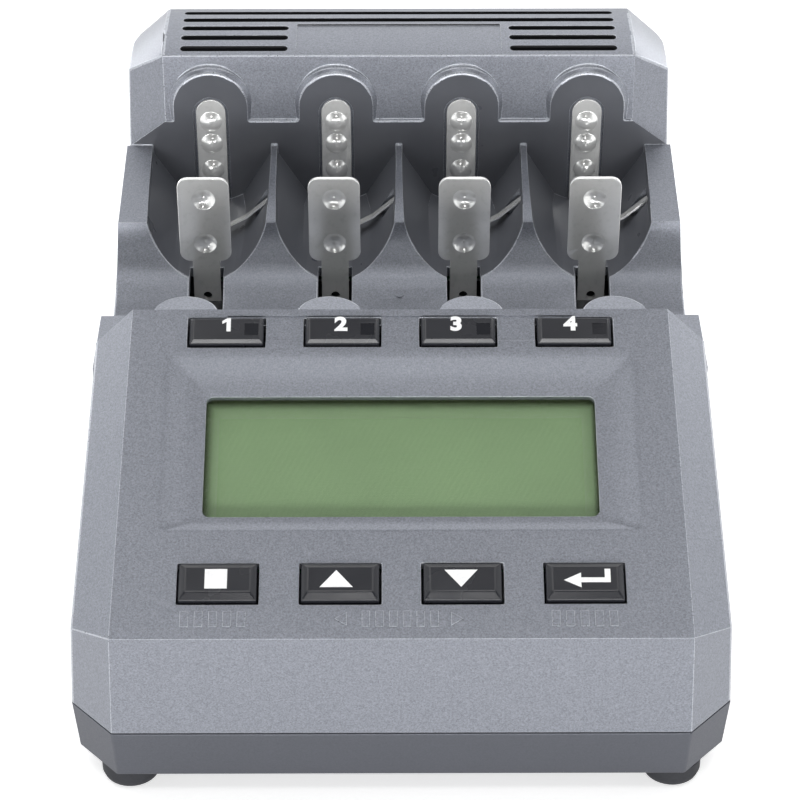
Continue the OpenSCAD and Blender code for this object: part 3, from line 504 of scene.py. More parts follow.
class FlatFaces:
    """Joins the triangles of each flat face, and cuts a face with a hole in it into whole ones.

    Sets only answer whether something is in them. What is gone through is a list or a dictionary,
    whose order is the same each run.
    """

    # A corner between two edges is dropped if the cosine between them is smaller.
    STRAIGHT = -0.99999

    def __init__(self, bm: bmesh.types.BMesh, angle: float = 0.5, drift: float = 4e-6) -> None:
        """Take a mesh.

        Args:
            bm: The mesh.
            angle: Largest angle between triangles of one flat face, in degrees.
            drift: Largest distance of a corner from the face's plane, in metres.
        """
        self.bm = bm
        self.least = math.cos(math.radians(angle))
        self.drift = drift
        self.inner: dict[bmesh.types.BMEdge, None] = {}

    def flat_with(self, face: bmesh.types.BMFace, seed: bmesh.types.BMFace) -> bool:
        """True if a face lies in the seed's plane."""
        if face.normal.dot(seed.normal) < self.least:
            return False
        start = seed.verts[0].co
        return all(abs((v.co - start).dot(seed.normal)) < self.drift for v in face.verts)

    def flood(self, faces: Sequence[bmesh.types.BMFace]) -> Iterable[list[bmesh.types.BMFace]]:
        """Split faces into flat, connected regions."""
        left = set(faces)
        for seed in faces:
            if seed not in left:
                continue
            left.discard(seed)
            region, queue = [seed], [seed]
            while queue:
                for edge in queue.pop().edges:
                    for face in edge.link_faces:
                        if face in left and self.flat_with(face, seed):
                            left.discard(face)
                            region.append(face)
                            queue.append(face)
            yield region

    @staticmethod
    def whole(region: Sequence[bmesh.types.BMFace]) -> bool:
        """True if a region has no hole and doesn't touch itself."""
        verts = {v for f in region for v in f.verts}
        edges = {e for f in region for e in f.edges}
        return len(verts) - len(edges) + len(region) == 1

    def settle(self, faces: Sequence[bmesh.types.BMFace]) -> None:
        """Mark the edges to drop inside each whole region, and halve the others."""
        for region in self.flood(faces):
            if len(region) < 2:
                continue
            if self.whole(region):
                within = set(region)
                edges = dict.fromkeys(e for f in region for e in f.edges)
                self.inner |= {e: None for e in edges if all(f in within for f in e.link_faces)}
                continue
            middles = {f: f.calc_center_median() for f in region}
            sides = ([m[k] for m in middles.values()] for k in range(3))
            spans = [max(side) - min(side) for side in sides]
            axis = spans.index(max(spans))
            ranked = sorted(region, key=lambda f: middles[f][axis])
            half = len(ranked) // 2
            self.settle(ranked[:half])
            self.settle(ranked[half:])

    def join(self) -> None:
        """Join the triangles."""
        self.bm.normal_update()
        self.settle(list(self.bm.faces))
        bmesh.ops.dissolve_edges(self.bm, edges=list(self.inner), use_verts=False)
        straight = []
        for vert in self.bm.verts:
            if len(vert.link_edges) == 2:
                one, two = (e.other_vert(vert).co - vert.co for e in vert.link_edges)
                if min(one.length, two.length) > 0 and one.normalized().dot(two.normalized()) < self.STRAIGHT:
                    straight.append(vert)
        bmesh.ops.dissolve_verts(self.bm, verts=straight)


def evaluated(obj: bpy.types.Object) -> bpy.types.Object:
    """An object with its modifiers at work."""
    return obj.evaluated_get(bpy.context.evaluated_depsgraph_get())


class Recipe:
    """One geometry node group, run once for a mesh."""

    def __init__(self, name: str) -> None:
        """Start an empty group.

        Args:
            name: The group's name.
        """
        self.tree = bpy.data.node_groups.new(name, "GeometryNodeTree")
        self.tree.interface.new_socket("Geometry", in_out="OUTPUT", socket_type="NodeSocketGeometry")
        self.keys: dict[str, str] = {}
        self.entry = self.tree.nodes.new("NodeGroupInput")
        self.exit = self.tree.nodes.new("NodeGroupOutput")

    def socket(self, name: str, kind: str) -> None:
        """Add an input to the group."""
        self.keys[name] = self.tree.interface.new_socket(name, in_out="INPUT", socket_type=kind).identifier

    def given(self, name: str) -> Socket:
        """The socket that carries an input inside the group."""
        return next(o for o in self.entry.outputs if o.identifier == self.keys[name])

    def add(self, kind: str, **inputs: object) -> bpy.types.Node:
        """Add a node and fill its inputs with values or sockets."""
        node = self.tree.nodes.new(kind)
        for key, value in inputs.items():
            socket = node.inputs[key.replace("_", " ").title()]
            if isinstance(value, Socket):
                self.tree.links.new(value, socket)
            else:
                socket.default_value = value
        return node

    def run(self, name: str, values: dict[str, object]) -> bpy.types.Mesh:
        """Run the group.

        Args:
            name: Name of the mesh.
            values: The group's inputs by name.

        Returns:
            The realised mesh.
        """
        obj = bpy.data.objects.new(name, bpy.data.meshes.new(name))
        bpy.context.scene.collection.objects.link(obj)
        modifier = obj.modifiers.new(name, "NODES")
        modifier.node_group = self.tree
        for key, value in values.items():
            modifier[self.keys[key]] = value
        bpy.context.view_layer.update()
        mesh = bpy.data.meshes.new_from_object(evaluated(obj))
        bpy.data.objects.remove(obj)
        return mesh


class Maker:
    """Turns outlines and other meshes into finished pieces."""

    # Corners nearer than WELD are joined; an edge shorter than POINT has no direction (metres).
    WELD = 2e-6
    POINT = 1e-7
    # Edges at a corner run side by side if the cosine between them is larger.
    PARALLEL = 0.9
    # Share of the room up to the next edge that a rounding may fill.
    ROOM_SHARE = 0.42
    # Rounds of narrowing near crossings, and how near in the first one, in widths.
    TRIES = 4
    ROUND_CROSSING = 2.0
    # A face crosses itself if its triangles' area differs by more (square metres, share).
    LEAST_OVERLAP = 2e-9
    OVERLAP_SHARE = 1e-3
    # Two sides also cross this far beyond their ends, as a share of their length.
    SLACK = 0.01
    # Fewest corners of a face that is tiled anew, and the tiling's tolerance in millimetres.
    TILED_CORNERS = 5
    TILE_DRIFT = 1e-5
    # How strongly large faces decide the shading beside them, in percent.
    FLAT_WEIGHT = 60

    @staticmethod
    def piece(name: str, mesh: bpy.types.Mesh, *materials: bpy.types.Material) -> bpy.types.Object:
        """Link a mesh into the scene as a piece.

        Args:
            name: The piece's name.
            mesh: Its mesh, already in place.
            *materials: Its materials, in slot order.

        Returns:
            The new object.
        """
        obj = bpy.data.objects.new(name, mesh)
        bpy.context.scene.collection.objects.link(obj)
        mesh.materials.clear()
        for material in materials:
            mesh.materials.append(material)
        return obj

    @staticmethod
    def merged(node: str, name: str) -> bpy.types.Object:
        """A copy of a CAD node whose loose triangles are joined.

        Args:
            node: The CAD node.
            name: The copy's name.

        Returns:
            The copy, linked into the scene.
        """
        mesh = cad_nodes()[node].data.copy()
        mesh.name = name
        bm = bmesh.new()
        bm.from_mesh(mesh)
        bmesh.ops.remove_doubles(bm, verts=bm.verts, dist=Maker.WELD)
        FlatFaces(bm).join()
        bm.to_mesh(mesh)
        bm.free()
        return Maker.piece(name, mesh)

    @staticmethod
    def reach(edge: bmesh.types.BMEdge) -> float:
        """How wide an edge can be rounded before it meets its neighbours, in metres."""
        room = 1.0
        along = (edge.verts[1].co - edge.verts[0].co).normalized()
        for vert in edge.verts:
            for other in vert.link_edges:
                if other is edge or not set(other.link_faces) & set(edge.link_faces):
                    continue
                away = other.other_vert(vert).co - vert.co
                length = away.length
                if length < Maker.POINT:
                    continue
                lean = abs(away.dot(along)) / length
                if lean < Maker.PARALLEL:
                    room = min(room, length * math.sqrt(1.0 - lean * lean))
        return room

    @staticmethod
    def soften(
        obj: bpy.types.Object,
        width: float,
        segments: int = 2,
        angle: float = 24.0,
        share: Callable[[Vector], float] = lambda _: 1.0,
        rim: bpy.types.Material | None = None,
    ) -> None:
        """Round an object's sharp edges and keep the result.

        Args:
            obj: The object.
            width: Largest width of the rounding in millimetres.
            segments: Faces across it.
            angle: Edges sharper than this are rounded, in degrees.
            share: Share of the width for an edge at a place given in millimetres.
            rim: Finish of the rounded edges themselves, as one more slot.
        """
        bm = bmesh.new()
        bm.from_mesh(obj.data)
        weights = bm.edges.layers.float.new("bevel_weight_edge")
        for edge in bm.edges:
            if len(edge.link_faces) == 2 and edge.calc_face_angle(0.0) > math.radians(angle):
                middle = (edge.verts[0].co + edge.verts[1].co) / 2 / MM
                room = Maker.reach(edge) * Maker.ROOM_SHARE / (width * MM)
                edge[weights] = max(0.0, min(1.0, room, share(middle)))
        bevel = obj.modifiers.new("soft_edges", "BEVEL")
        bevel.width = width * MM
        bevel.segments = segments
        bevel.limit_method = "WEIGHT"
        bevel.use_clamp_overlap = False
        if rim is not None:
            obj.data.materials.append(rim)
            bevel.material = len(obj.data.materials) - 1
        bevel.miter_outer = "MITER_ARC"
        for attempt in range(Maker.TRIES):
            bm.to_mesh(obj.data)
            crossings = Maker.crossings(obj)
            if not crossings:
                break
            tree = KDTree(len(crossings))
            for index, place in enumerate(crossings):
                tree.insert(place, index)
            tree.balance()
            for edge in bm.edges:
                if edge[weights] > 0.0:
                    one, two = (v.co for v in edge.verts)
                    spots = (one, (one + two) / 2, two)
                    if min(tree.find(c)[2] for c in spots) < (Maker.ROUND_CROSSING + attempt) * width * MM:
                        edge[weights] *= 0.5
        bm.free()
        Maker.bake(obj)
        Maker.retile(obj)
        Maker.shade(obj)

    @staticmethod
    def eased(
        node: str,
        name: str,
        body: str,
        slot: str,
        material: bpy.types.Material,
        width: float,
        segments: int = 2,
        angle: float = 24.0,
    ) -> None:
        """Replace a CAD node by a copy with rounded edges.

        Args:
            node: The CAD node.
            name: The piece's name.
            body: The body it moves with.
            slot: Not used.
            material: Its finish.
            width: Largest width of the rounding in millimetres.
            segments: Faces across it.
            angle: Edges sharper than this are rounded, in degrees.
        """
        obj = Maker.merged(node, name)
        Maker.soften(obj, width, segments=segments, angle=angle)
        obj.data.materials.clear()
        obj.data.materials.append(material)
        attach(obj, body)
        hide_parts(node)
        LOG.info("%s: %d faces", name, len(obj.data.polygons))

    @staticmethod
    def crossed(bm: bmesh.types.BMesh) -> list[bmesh.types.BMFace]:
        """The faces of a mesh whose outlines run across themselves."""
        bm.normal_update()
        cover: dict[bmesh.types.BMFace, float] = {}
        for corners in bm.calc_loop_triangles():
            one, two, three = (loop.vert.co for loop in corners)
            face = corners[0].face
            cover[face] = cover.get(face, 0.0) + (two - one).cross(three - one).length / 2
        least, part = Maker.LEAST_OVERLAP, Maker.OVERLAP_SHARE
        return [f for f, area in cover.items() if abs(area - f.calc_area()) > max(least, area * part)]

    @staticmethod
    def crossings(obj: bpy.types.Object) -> list[Vector]:
        """Places where a face of the modified object runs across itself.

        Args:
            obj: The object with its modifiers.

        Returns:
            The places, in the object's own metres.
        """
        shaped = evaluated(obj)
        bm = bmesh.new()
        bm.from_mesh(shaped.to_mesh())
        places = [place for face in Maker.crossed(bm) for place in Maker.knots(face)]
        bm.free()
        shaped.to_mesh_clear()
        return places

    @staticmethod
    def retile(obj: bpy.types.Object) -> None:
        """Fill the faces that still run across themselves with clean triangles."""
        bm = bmesh.new()
        bm.from_mesh(obj.data)
        for face in Maker.crossed(bm):
            corners = list(face.verts)
            normal = face.normal.copy()
            if len(corners) < Maker.TILED_CORNERS or normal.length < 0.5:
                continue
            origin = corners[0].co.copy()
            across = normal.orthogonal().normalized()
            up = normal.cross(across)
            flat = [Vector(((v.co - origin).dot(across), (v.co - origin).dot(up))) / MM for v in corners]
            only_inside = 1
            found = delaunay_2d_cdt(flat, [], [list(range(len(flat)))], only_inside, Maker.TILE_DRIFT)
            places, tiles, sources = found[0], found[2], found[3]
            verts = []
            for place, source in zip(places, sources):
                if source:
                    verts.append(corners[source[0]])
                else:
                    verts.append(bm.verts.new(origin + (across * place.x + up * place.y) * MM))
            bm.faces.remove(face)
            for tile in tiles:
                ring = [verts[k] for k in tile]
                if len(set(ring)) > 2 and bm.faces.get(ring) is None:
                    bm.faces.new(ring)
        bm.to_mesh(obj.data)
        bm.free()

    @staticmethod
    def knots(face: bmesh.types.BMFace) -> list[Vector]:
        """Places where a face's outline crosses itself, or its middle if none is found."""
        points = np.array([v.co[:] for v in face.verts])
        drop = int(np.argmax(np.abs(np.array(face.normal[:]))))
        flat = np.delete(points, drop, axis=1)
        count = len(flat)
        start, step = flat, np.roll(flat, -1, axis=0) - flat
        gap = start[None, :, :] - start[:, None, :]
        cross = step[:, None, 0] * step[None, :, 1] - step[:, None, 1] * step[None, :, 0]
        with np.errstate(divide="ignore", invalid="ignore"):
            t = (gap[:, :, 0] * step[None, :, 1] - gap[:, :, 1] * step[None, :, 0]) / cross
            u = (gap[:, :, 0] * step[:, None, 1] - gap[:, :, 1] * step[:, None, 0]) / cross
        ring = np.arange(count)
        apart = (ring[:, None] - ring[None, :]) % count
        hit = (apart > 1) & (apart < count - 1)
        for along in (t, u):
            hit &= (along > -Maker.SLACK) & (along < 1 + Maker.SLACK)
        found = [Vector(points[i]) for i in np.unique(np.nonzero(hit)[0])]
        return found or [v.co.copy() for v in face.verts]

    @staticmethod
    def bake(obj: bpy.types.Object) -> None:
        """Replace an object's mesh by its modified one, and drop the modifiers."""
        materials = list(obj.data.materials)
        mesh = bpy.data.meshes.new_from_object(evaluated(obj))
        obj.modifiers.clear()
        obj.data = mesh
        if not mesh.materials:
            for material in materials:
                mesh.materials.append(material)

    @staticmethod
    def shade(obj: bpy.types.Object, angle: float = 34.0) -> None:
        """Shade smoothly across edges flatter than an angle in degrees, and keep large faces flat."""
        mesh = obj.data
        mesh.polygons.foreach_set("use_smooth", [True] * len(mesh.polygons))
        mesh.set_sharp_from_angle(angle=math.radians(angle))
        weigh = obj.modifiers.new("flat_faces", "WEIGHTED_NORMAL")
        weigh.mode = "FACE_AREA"
        weigh.weight = Maker.FLAT_WEIGHT
        weigh.keep_sharp = True
        Maker.bake(obj)

    @staticmethod
    def slab(outline: Sequence[Pair], low: float, high: float, place: Placer) -> bpy.types.Mesh:
        """A closed slab from a flat outline.

        Args:
            outline: The outline's points, anticlockwise, in millimetres.
            low: Depth of its lower face.
            high: Depth of its upper face.
            place: Maps outline coordinates and depth to the part's metres.

        Returns:
            The slab's mesh.
        """
        bm = bmesh.new()
        rings = [[bm.verts.new(place(u, v, w)) for u, v in outline] for w in (low, high)]
        count = len(outline)
        bm.faces.new(list(reversed(rings[0])))
        bm.faces.new(rings[1])
        for k in range(count):
            n = (k + 1) % count
            bm.faces.new((rings[0][k], rings[0][n], rings[1][n], rings[1][k]))
        bmesh.ops.recalc_face_normals(bm, faces=bm.faces)
        return Maker.mesh_of(bm, "slab")

    @staticmethod
    def mesh_of(bm: bmesh.types.BMesh, name: str) -> bpy.types.Mesh:
        """A named mesh from an edit mesh, which is freed."""
        mesh = bpy.data.meshes.new(name)
        bm.to_mesh(mesh)
        bm.free()
        return mesh


@dataclass
class Panel:
    """Frame of the console's sloped panel, as the CAD has it, in millimetres."""

    case_len: float = 151.0
    parting_z: float = 14.2
    edge_z: float = 33.1
    top_z: float = 57.7
    top_y: float = -19.4
    draft: float = 2.0

    @property
    def crease_y(self) -> float:
        """Place of the front crease."""
        return -self.case_len / 2 + (self.edge_z - self.parting_z) * math.tan(math.radians(self.draft))

    @property
    def slope(self) -> float:
        """The panel's slope in radians."""
        return math.atan2(self.top_z - self.edge_z, self.top_y - self.crease_y)

    def depth(self, y: float, z: float) -> float:
        """How far a place lies under the panel, in millimetres."""
        return (y - self.crease_y) * math.sin(self.slope) - (z - self.edge_z) * math.cos(self.slope)

    def placer(self, x: float, s: float, n: float) -> Placer:
        """Maps coordinates that start at a point of the panel to the part's metres."""
        return lambda u, v, w: self.at(x + u, s + v, n + w)

    def at(self, x: float, s: float, n: float) -> Triple:
        """The part's metres of a point on the panel.

        Args:
            x: Across the case.
            s: Up the slope from the crease.
            n: Out of the panel.

        Returns:
            The point in metres.
        """
        cos, sin = math.cos(self.slope), math.sin(self.slope)
        return (x * MM, (self.crease_y + s * cos - n * sin) * MM, (self.edge_z + s * sin + n * cos) * MM)


@dataclass(frozen=True)
class Hollow:
    """Where the upper shell's inside lies that no view reaches, in millimetres."""

    panel: Panel
    parting_z: float = 14.2
    half_w: float = 53.0
    draft: float = 0.052
    side: float = 1.5
    end_y: float = 73.6
    top_z: float = 63.8
    under_panel: float = 1.7
    front_y: float = -72.4
    case_half: float = 75.5
    corner_slope: float = 0.92
    corner: float = 8.3
    facet_depth: float = 8.0
    facet_slopes: Pair = (0.8, 0.6)
    facet: float = 5.2
    behind_panel: float = 1.2
    deck_rear_y: float = 55.2
    deck_z: float = 31.5
    rear_half_w: float = 43.0
    rear_top_z: float = 62.5
    rear_y: Pair = (56.2, 72.0)

    def holds(self, x: float, y: float, z: float) -> bool:
        """True for a place inside the hollow case."""
        side = self.half_w - abs(z - self.parting_z) * self.draft
        if abs(x) > side - self.side or abs(y) > self.end_y or z > self.top_z:
            return False
        if y < self.panel.top_y - self.behind_panel:
            depth = self.panel.depth(y, z)
            corner = (side - abs(x)) + (y + self.case_half) * self.corner_slope
            down, across = self.facet_slopes
            clear_of_facet = depth >= self.facet_depth or depth * down + (side - abs(x)) * across > self.facet
            return depth > self.under_panel and y > self.front_y and corner > self.corner and clear_of_facet
        if y < self.deck_rear_y:
            return z < self.deck_z
        return abs(x) < self.rear_half_w and z < self.rear_top_z and self.rear_y[0] < y < self.rear_y[1]


@dataclass
class Housing:
    """The two moulded shells with their softened edges, in millimetres."""

    palette: Palette
    panel: Panel
    bay_pitch: float = 23.75
    trough_r: float = 11.25
    trough_z: float = 46.85
    troughs_half_w: float = 47.2
    ribs_top_z: float = 57.0
    pads_top_z: float = 63.5
    wall_y: float = 53.0
    near: float = 0.45
    bays_y: Pair = (-16.5, 54.2)
    bays_low_z: float = 33.0
    bays_half_w: float = 49.0
    vents_y: Pair = (55.6, 73.9)
    vents_half_w: float = 41.4
    vents_low_z: float = 62.0
    wall_facing: float = -0.997
    rib_facing: float = 0.6
    slot_facing: float = 0.45
    edge: float = 0.55
    base_edge: float = 0.4
    fine_share: float = 0.3
    deck_share: float = 0.6
    rear_share: float = 0.75
    display_half_w: float = 41.5
    off_panel: float = 0.3
    off_crease: float = 0.5
    off_wall: float = 0.5
    vent_edges: Triple = (41.6, 55.5, 60.0)
    leaf_room: float = 2.0
    leaf_boxes: list[tuple[np.ndarray, np.ndarray]] = field(init=False)
    hollow: Hollow = field(init=False)

    def __post_init__(self) -> None:
        """Set the hollow up, and find the room that each temperature leaf needs."""
        self.hollow = Hollow(self.panel)
        self.leaf_boxes = []
        for i in range(1, 5):
            corners = np.array([c[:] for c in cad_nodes()[f"temperature_leaf_{i}"].bound_box]) / MM
            low, high = corners.min(axis=0) - self.leaf_room, corners.max(axis=0) + self.leaf_room
            self.leaf_boxes.append((low, high))

    def skin_of(self, centre: Vector, normal: Vector) -> Skin:
        """Which surface a face of the upper shell has.

        Args:
            centre: The face's middle, in metres.
            normal: Its normal.

        Returns:
            Dark inside the case and on the vent slot walls as painted shade, smooth inside the cell troughs
            and on the contact wall, else sparkling.
        """
        x, y, z = (c / MM for c in centre)
        if self.hollow.holds(x, y, z) or self.in_vent(x, y, z, normal):
            return Skin.INNER
        if not self.bays_y[0] < y < self.bays_y[1] or z < self.bays_low_z or abs(x) > self.bays_half_w:
            return Skin.SPARKLE
        if normal.y < self.wall_facing and abs(y - self.wall_y) < self.near and z < self.pads_top_z:
            return Skin.SMOOTH
        side = ((x / self.bay_pitch) % 1.0 - 0.5) * self.bay_pitch
        up = z - self.trough_z
        if up < 0:
            off = abs(math.hypot(side, up) - self.trough_r)
            inside = off < self.near and normal.x * side + normal.z * up < 0
        else:
            off = abs(abs(side) - self.trough_r)
            inside = off < self.near and abs(normal.x) > self.rib_facing and z < self.ribs_top_z
        return Skin.SMOOTH if inside and abs(x) < self.troughs_half_w else Skin.SPARKLE

    def in_vent(self, x: float, y: float, z: float, normal: Vector) -> bool:
        """True for the walls of the slots in the crowned top."""
        place = self.vents_y[0] < y < self.vents_y[1] and abs(x) < self.vents_half_w and z > self.vents_low_z
        return place and abs(normal.z) < self.slot_facing

    def by_leaf(self, place: Vector) -> bool:
        """True beside a temperature leaf, where a rounding would take the room it swings in."""
        at = np.array(place[:])
        return any((low < at).all() and (at < high).all() for low, high in self.leaf_boxes)

    def share(self, place: Vector) -> float:
        """Share of the full rounding for an edge of the upper shell.

        Args:
            place: The edge's middle.

        Returns:
            Zero inside the case and by the leaves, little at fine detail, and one at the outer edges.
        """
        x, y, z = place
        if self.hollow.holds(x, y, z) or self.by_leaf(place):
            return 0.0
        if y < self.panel.top_y - self.off_panel:
            inside = abs(x) < self.display_half_w and y > self.panel.crease_y + self.off_crease
            return self.fine_share if inside else 1.0
        if y < self.wall_y - self.off_wall:
            return self.deck_share
        half_w, front_y, low_z = self.vent_edges
        in_crown = abs(x) < half_w and front_y < y < self.vents_y[1] and z > low_z
        return self.fine_share if in_crown else self.rear_share

    def upper(self) -> None:
        """Make the upper shell, with the cell troughs smooth and the rest sparkling, its rounded edges
        lighter as a painted highlight and its inside dark as painted shade.
        """
        obj = Maker.merged("upper_shell", "upper_shell_moulding")
        for material in (self.palette.case, self.palette.bay, self.palette.inner):
            obj.data.materials.append(material)
        # The rounded edges get the lighter edge finish, a painted highlight.
        Maker.soften(obj, self.edge, segments=3, share=self.share, rim=self.palette.edge_highlight)
        for face in obj.data.polygons:
            skin = self.skin_of(face.center, face.normal)
            # Rounded edges keep their lighter finish, except inside the case, which takes the painted shade.
            if face.material_index != Skin.WORN or skin == Skin.INNER:
                face.material_index = int(skin)
        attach(obj, "housing")
        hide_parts("upper_shell")
        LOG.info("%s: %d faces", obj.name, len(obj.data.polygons))

    def build(self) -> None:
        """Make both shells and dress the feet and screws."""
        self.upper()
        # The base's darker coat is painted shade.
        base = self.palette.base
        Maker.eased("base_shell", "base_shell_moulding", "housing", "base_grey", base, self.base_edge)
        dress(self.palette.rubber, *(f"foot_{i}" for i in range(1, 5)))
        dress(self.palette.steel, "case_screws")


def dress(material: bpy.types.Material, *nodes: str) -> None:
    """Give CAD nodes their finish.

    Args:
        material: The finish.
        *nodes: The nodes' names.
    """
    for node in nodes:
        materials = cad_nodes()[node].data.materials
        materials.clear()
        materials.append(material)


@dataclass
class Keypad:
    """Key caps, their signs and their lamps, in millimetres."""

    palette: Palette
    panel: Panel
    pitch: float = 19.15
    slot_s: float = 56.15
    slot_top: float = 1.0
    menu_s: float = 9.55
    menu_top: float = 1.2
    edge: float = 0.22
    ink: float = 0.02
    digit_size: float = 3.6
    digit_weight: float = 0.17
    digit_stretch: float = 1.15
    digit_up: float = 0.85
    digit_shift: tuple[float, ...] = (0.15, -0.25, -0.35, -0.6)
    sign_up: float = 0.3
    sign_shift: tuple[float, ...] = (-0.24, -0.6, -0.25, 0.35)
    one: tuple[Pair, ...] = (
        (-0.15, -1.3), (0.55, -1.3), (0.55, 1.3), (0.0, 1.3), (-0.85, 0.75), (-0.85, 0.2), (-0.15, 0.55)
    )

    def key_x(self, index: int) -> float:
        """Place of a key across the case, from its index at the left."""
        return (index - 1.5) * self.pitch

    def cap(self, node: str, body: str) -> None:
        """Replace a key's CAD solid by a cap with rounded edges.

        Args:
            node: The key's node.
            body: The body it moves with.
        """
        key = self.palette.key
        Maker.eased(node, f"{node}_cap", body, "key_black", key, self.edge, segments=3, angle=20.0)

    def digit(self, index: int) -> None:
        """Print a slot key's number.

        Args:
            index: Which slot, from 0.
        """
        name = f"slot_number_{index + 1}"
        x = self.key_x(index) + self.digit_shift[index]
        place = self.panel.placer(x, self.slot_s + self.digit_up, self.slot_top)
        if index == 0:
            mesh = Maker.slab(self.one, -self.ink / 2, self.ink, place)
        else:
            curve = bpy.data.curves.new(name, "FONT")
            curve.body = str(index + 1)
            curve.size = self.digit_size
            curve.offset = self.digit_weight
            curve.align_x = "CENTER"
            curve.align_y = "CENTER"
            curve.extrude = self.ink / 2
            text = bpy.data.objects.new("digit_curve", curve)
            bpy.context.scene.collection.objects.link(text)
            bpy.context.view_layer.update()
            mesh = bpy.data.meshes.new_from_object(evaluated(text))
            bpy.data.objects.remove(text)
            for vert in mesh.vertices:
                u, v, w = vert.co
                vert.co = place(u * self.digit_stretch, v, w)
        mesh.name = name
        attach(Maker.piece(name, mesh, self.palette.print_white), f"slot_button_{index + 1}")

    def sign(self, sign: Sign, index: int) -> None:
        """Print a menu key's sign.

        Args:
            sign: Which sign.
            index: The key's place from the left.
        """
        x = self.key_x(index) + self.sign_shift[index]
        place = self.panel.placer(x, self.menu_s + self.sign_up, self.menu_top)
        bm = bmesh.new()
        for outline in SIGN_SHAPES[sign]:
            bm.from_mesh(Maker.slab(outline, -self.ink / 2, self.ink, place))
        mesh = Maker.mesh_of(bm, f"{sign.value}_sign")
        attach(Maker.piece(mesh.name, mesh, self.palette.print_white), sign.value.replace("_key", "_button"))

    def build(self) -> None:
        """Make every key."""
        for index in range(4):
            self.cap(f"slot_key_{index + 1}", f"slot_button_{index + 1}")
            self.digit(index)
            dress(self.palette.lamp, f"slot_key_lamp_{index + 1}")
        for index, sign in enumerate(Sign):
            self.cap(sign.value, sign.value.replace("_key", "_button"))
            self.sign(sign, index)
        dress(self.palette.plunger, *(f"switch_plunger_{i}" for i in range(1, 9)))
        dress(self.palette.black, "switch_bodies")
        LOG.info("keypad: 8 keys with their signs")


@dataclass
class Relief:
    """Plain raised marks under the menu keys, in millimetres."""

    palette: Palette
    panel: Panel
    middle_s: float = 3.4
    height: float = 2.8
    rise: float = 0.16
    bar_share: float = 0.62
    edge: float = 0.1
    arrow_half: Pair = (1.0, 1.2)
    rows: tuple[tuple[float, float, int], ...] = ((-34.9, -23.8, 5), (-6.6, 6.2, 6), (22.9, 34.1, 5))
    arrows: Pair = (-9.5, 8.7)

    def bars(self) -> Recipe:
        """A row of upright bars as a geometry node group."""
        r = Recipe("raised_bars")
        for name in ("First", "Pitch", "Width", "Height", "Rise"):
            r.socket(name, "NodeSocketFloat")
        r.socket("Count", "NodeSocketInt")
        r.socket("Material", "NodeSocketMaterial")
        start = r.add("ShaderNodeCombineXYZ", x=r.given("First"))
        step = r.add("ShaderNodeCombineXYZ", x=r.given("Pitch"))
        size = r.add("ShaderNodeCombineXYZ", x=r.given("Width"), y=r.given("Height"), z=r.given("Rise"))
        ends = {"start_location": start.outputs[0], "offset": step.outputs[0]}
        line = r.add("GeometryNodeMeshLine", count=r.given("Count"), **ends)
        bar = r.add("GeometryNodeMeshCube", size=size.outputs[0])
        spread = r.add("GeometryNodeInstanceOnPoints", points=line.outputs[0], instance=bar.outputs[0])
        whole = r.add("GeometryNodeRealizeInstances", geometry=spread.outputs[0])
        coat = r.add("GeometryNodeSetMaterial", geometry=whole.outputs[0], material=r.given("Material"))
        r.tree.links.new(coat.outputs[0], r.exit.inputs[0])
        return r

    def build(self) -> None:
        """Make the marks as one piece."""
        recipe = self.bars()
        bm = bmesh.new()
        for left, right, count in self.rows:
            pitch = (right - left) / count
            sizes = {"First": left + pitch / 2, "Pitch": pitch, "Width": pitch * self.bar_share}
            sizes |= {"Height": self.height, "Rise": 2 * self.rise}
            values = {name: size * MM for name, size in sizes.items()}
            bm.from_mesh(recipe.run("bars", values | {"Count": count, "Material": self.palette.case}))
        place = self.panel.placer(0.0, self.middle_s, 0.0)
        for vert in bm.verts:
            vert.co = place(*(c / MM for c in vert.co))
        half_l, half_h = self.arrow_half
        for x, way in zip(self.arrows, (-half_l, half_l)):
            points = [(x - way, -half_h), (x + way, 0.0), (x - way, half_h)]
            bm.from_mesh(Maker.slab(points if way > 0 else points[::-1], -self.rise, self.rise, place))
        mesh = Maker.mesh_of(bm, "panel_relief")
        obj = Maker.piece("panel_relief", mesh, self.palette.case)
        # The rounded edges of the marks get the lighter edge finish, a painted highlight that shows them up.
        Maker.soften(obj, self.edge, segments=2, rim=self.palette.edge_highlight)
        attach(obj, "housing")
        LOG.info("relief: %d faces", len(obj.data.polygons))


@dataclass
class Display:
    """Window, liquid crystal layer and their frame, in millimetres."""

    palette: Palette
    panel: Panel
    middle_s: float = 33.1
    layer_n: float = -2.85
    half: Pair = (31.7, 11.15)
    green: Triple = tone(166, 197, 149)
    # Colour of the painted shadow along the layer's rim.
    rim: Triple = tone(84, 100, 66)

    def build(self) -> None:
        """Dress the display's nodes."""
        centre = self.panel.at(0, self.middle_s, self.layer_n)
        glow = DisplayGlow("display_green", self.green, self.rim, self.half, centre, self.panel.slope)
        dress(glow.build(), "lcd_panel")
        dress(self.palette.pane, "display_window")
        dress(self.palette.frame, "lcd_frame")
        dress(self.palette.board, "control_board")
        LOG.info("display: window and layer dressed")


@dataclass
class CellContacts:
    """Fixed strips, sliding plates, leaves, carriages and springs, in millimetres."""

    palette: Palette
    edge: float = 0.12

    def build(self) -> None:
        """Make the contacts of every bay."""
        nickel = self.palette.nickel
        for i in range(1, 5):
            for node, name, body in (
                (f"positive_contact_{i}", f"fixed_strip_{i}", "housing"),
                (f"slider_contact_{i}", f"sliding_plate_{i}", f"slider_{i}"),
            ):
                Maker.eased(node, name, body, "contact_nickel", nickel, self.edge, angle=30.0)
            dress(nickel, f"temperature_leaf_{i}")
            dress(self.palette.black, f"slider_carriage_{i}")
            dress(self.palette.steel, f"slider_spring_{i}")
        LOG.info("contacts: 4 bays")


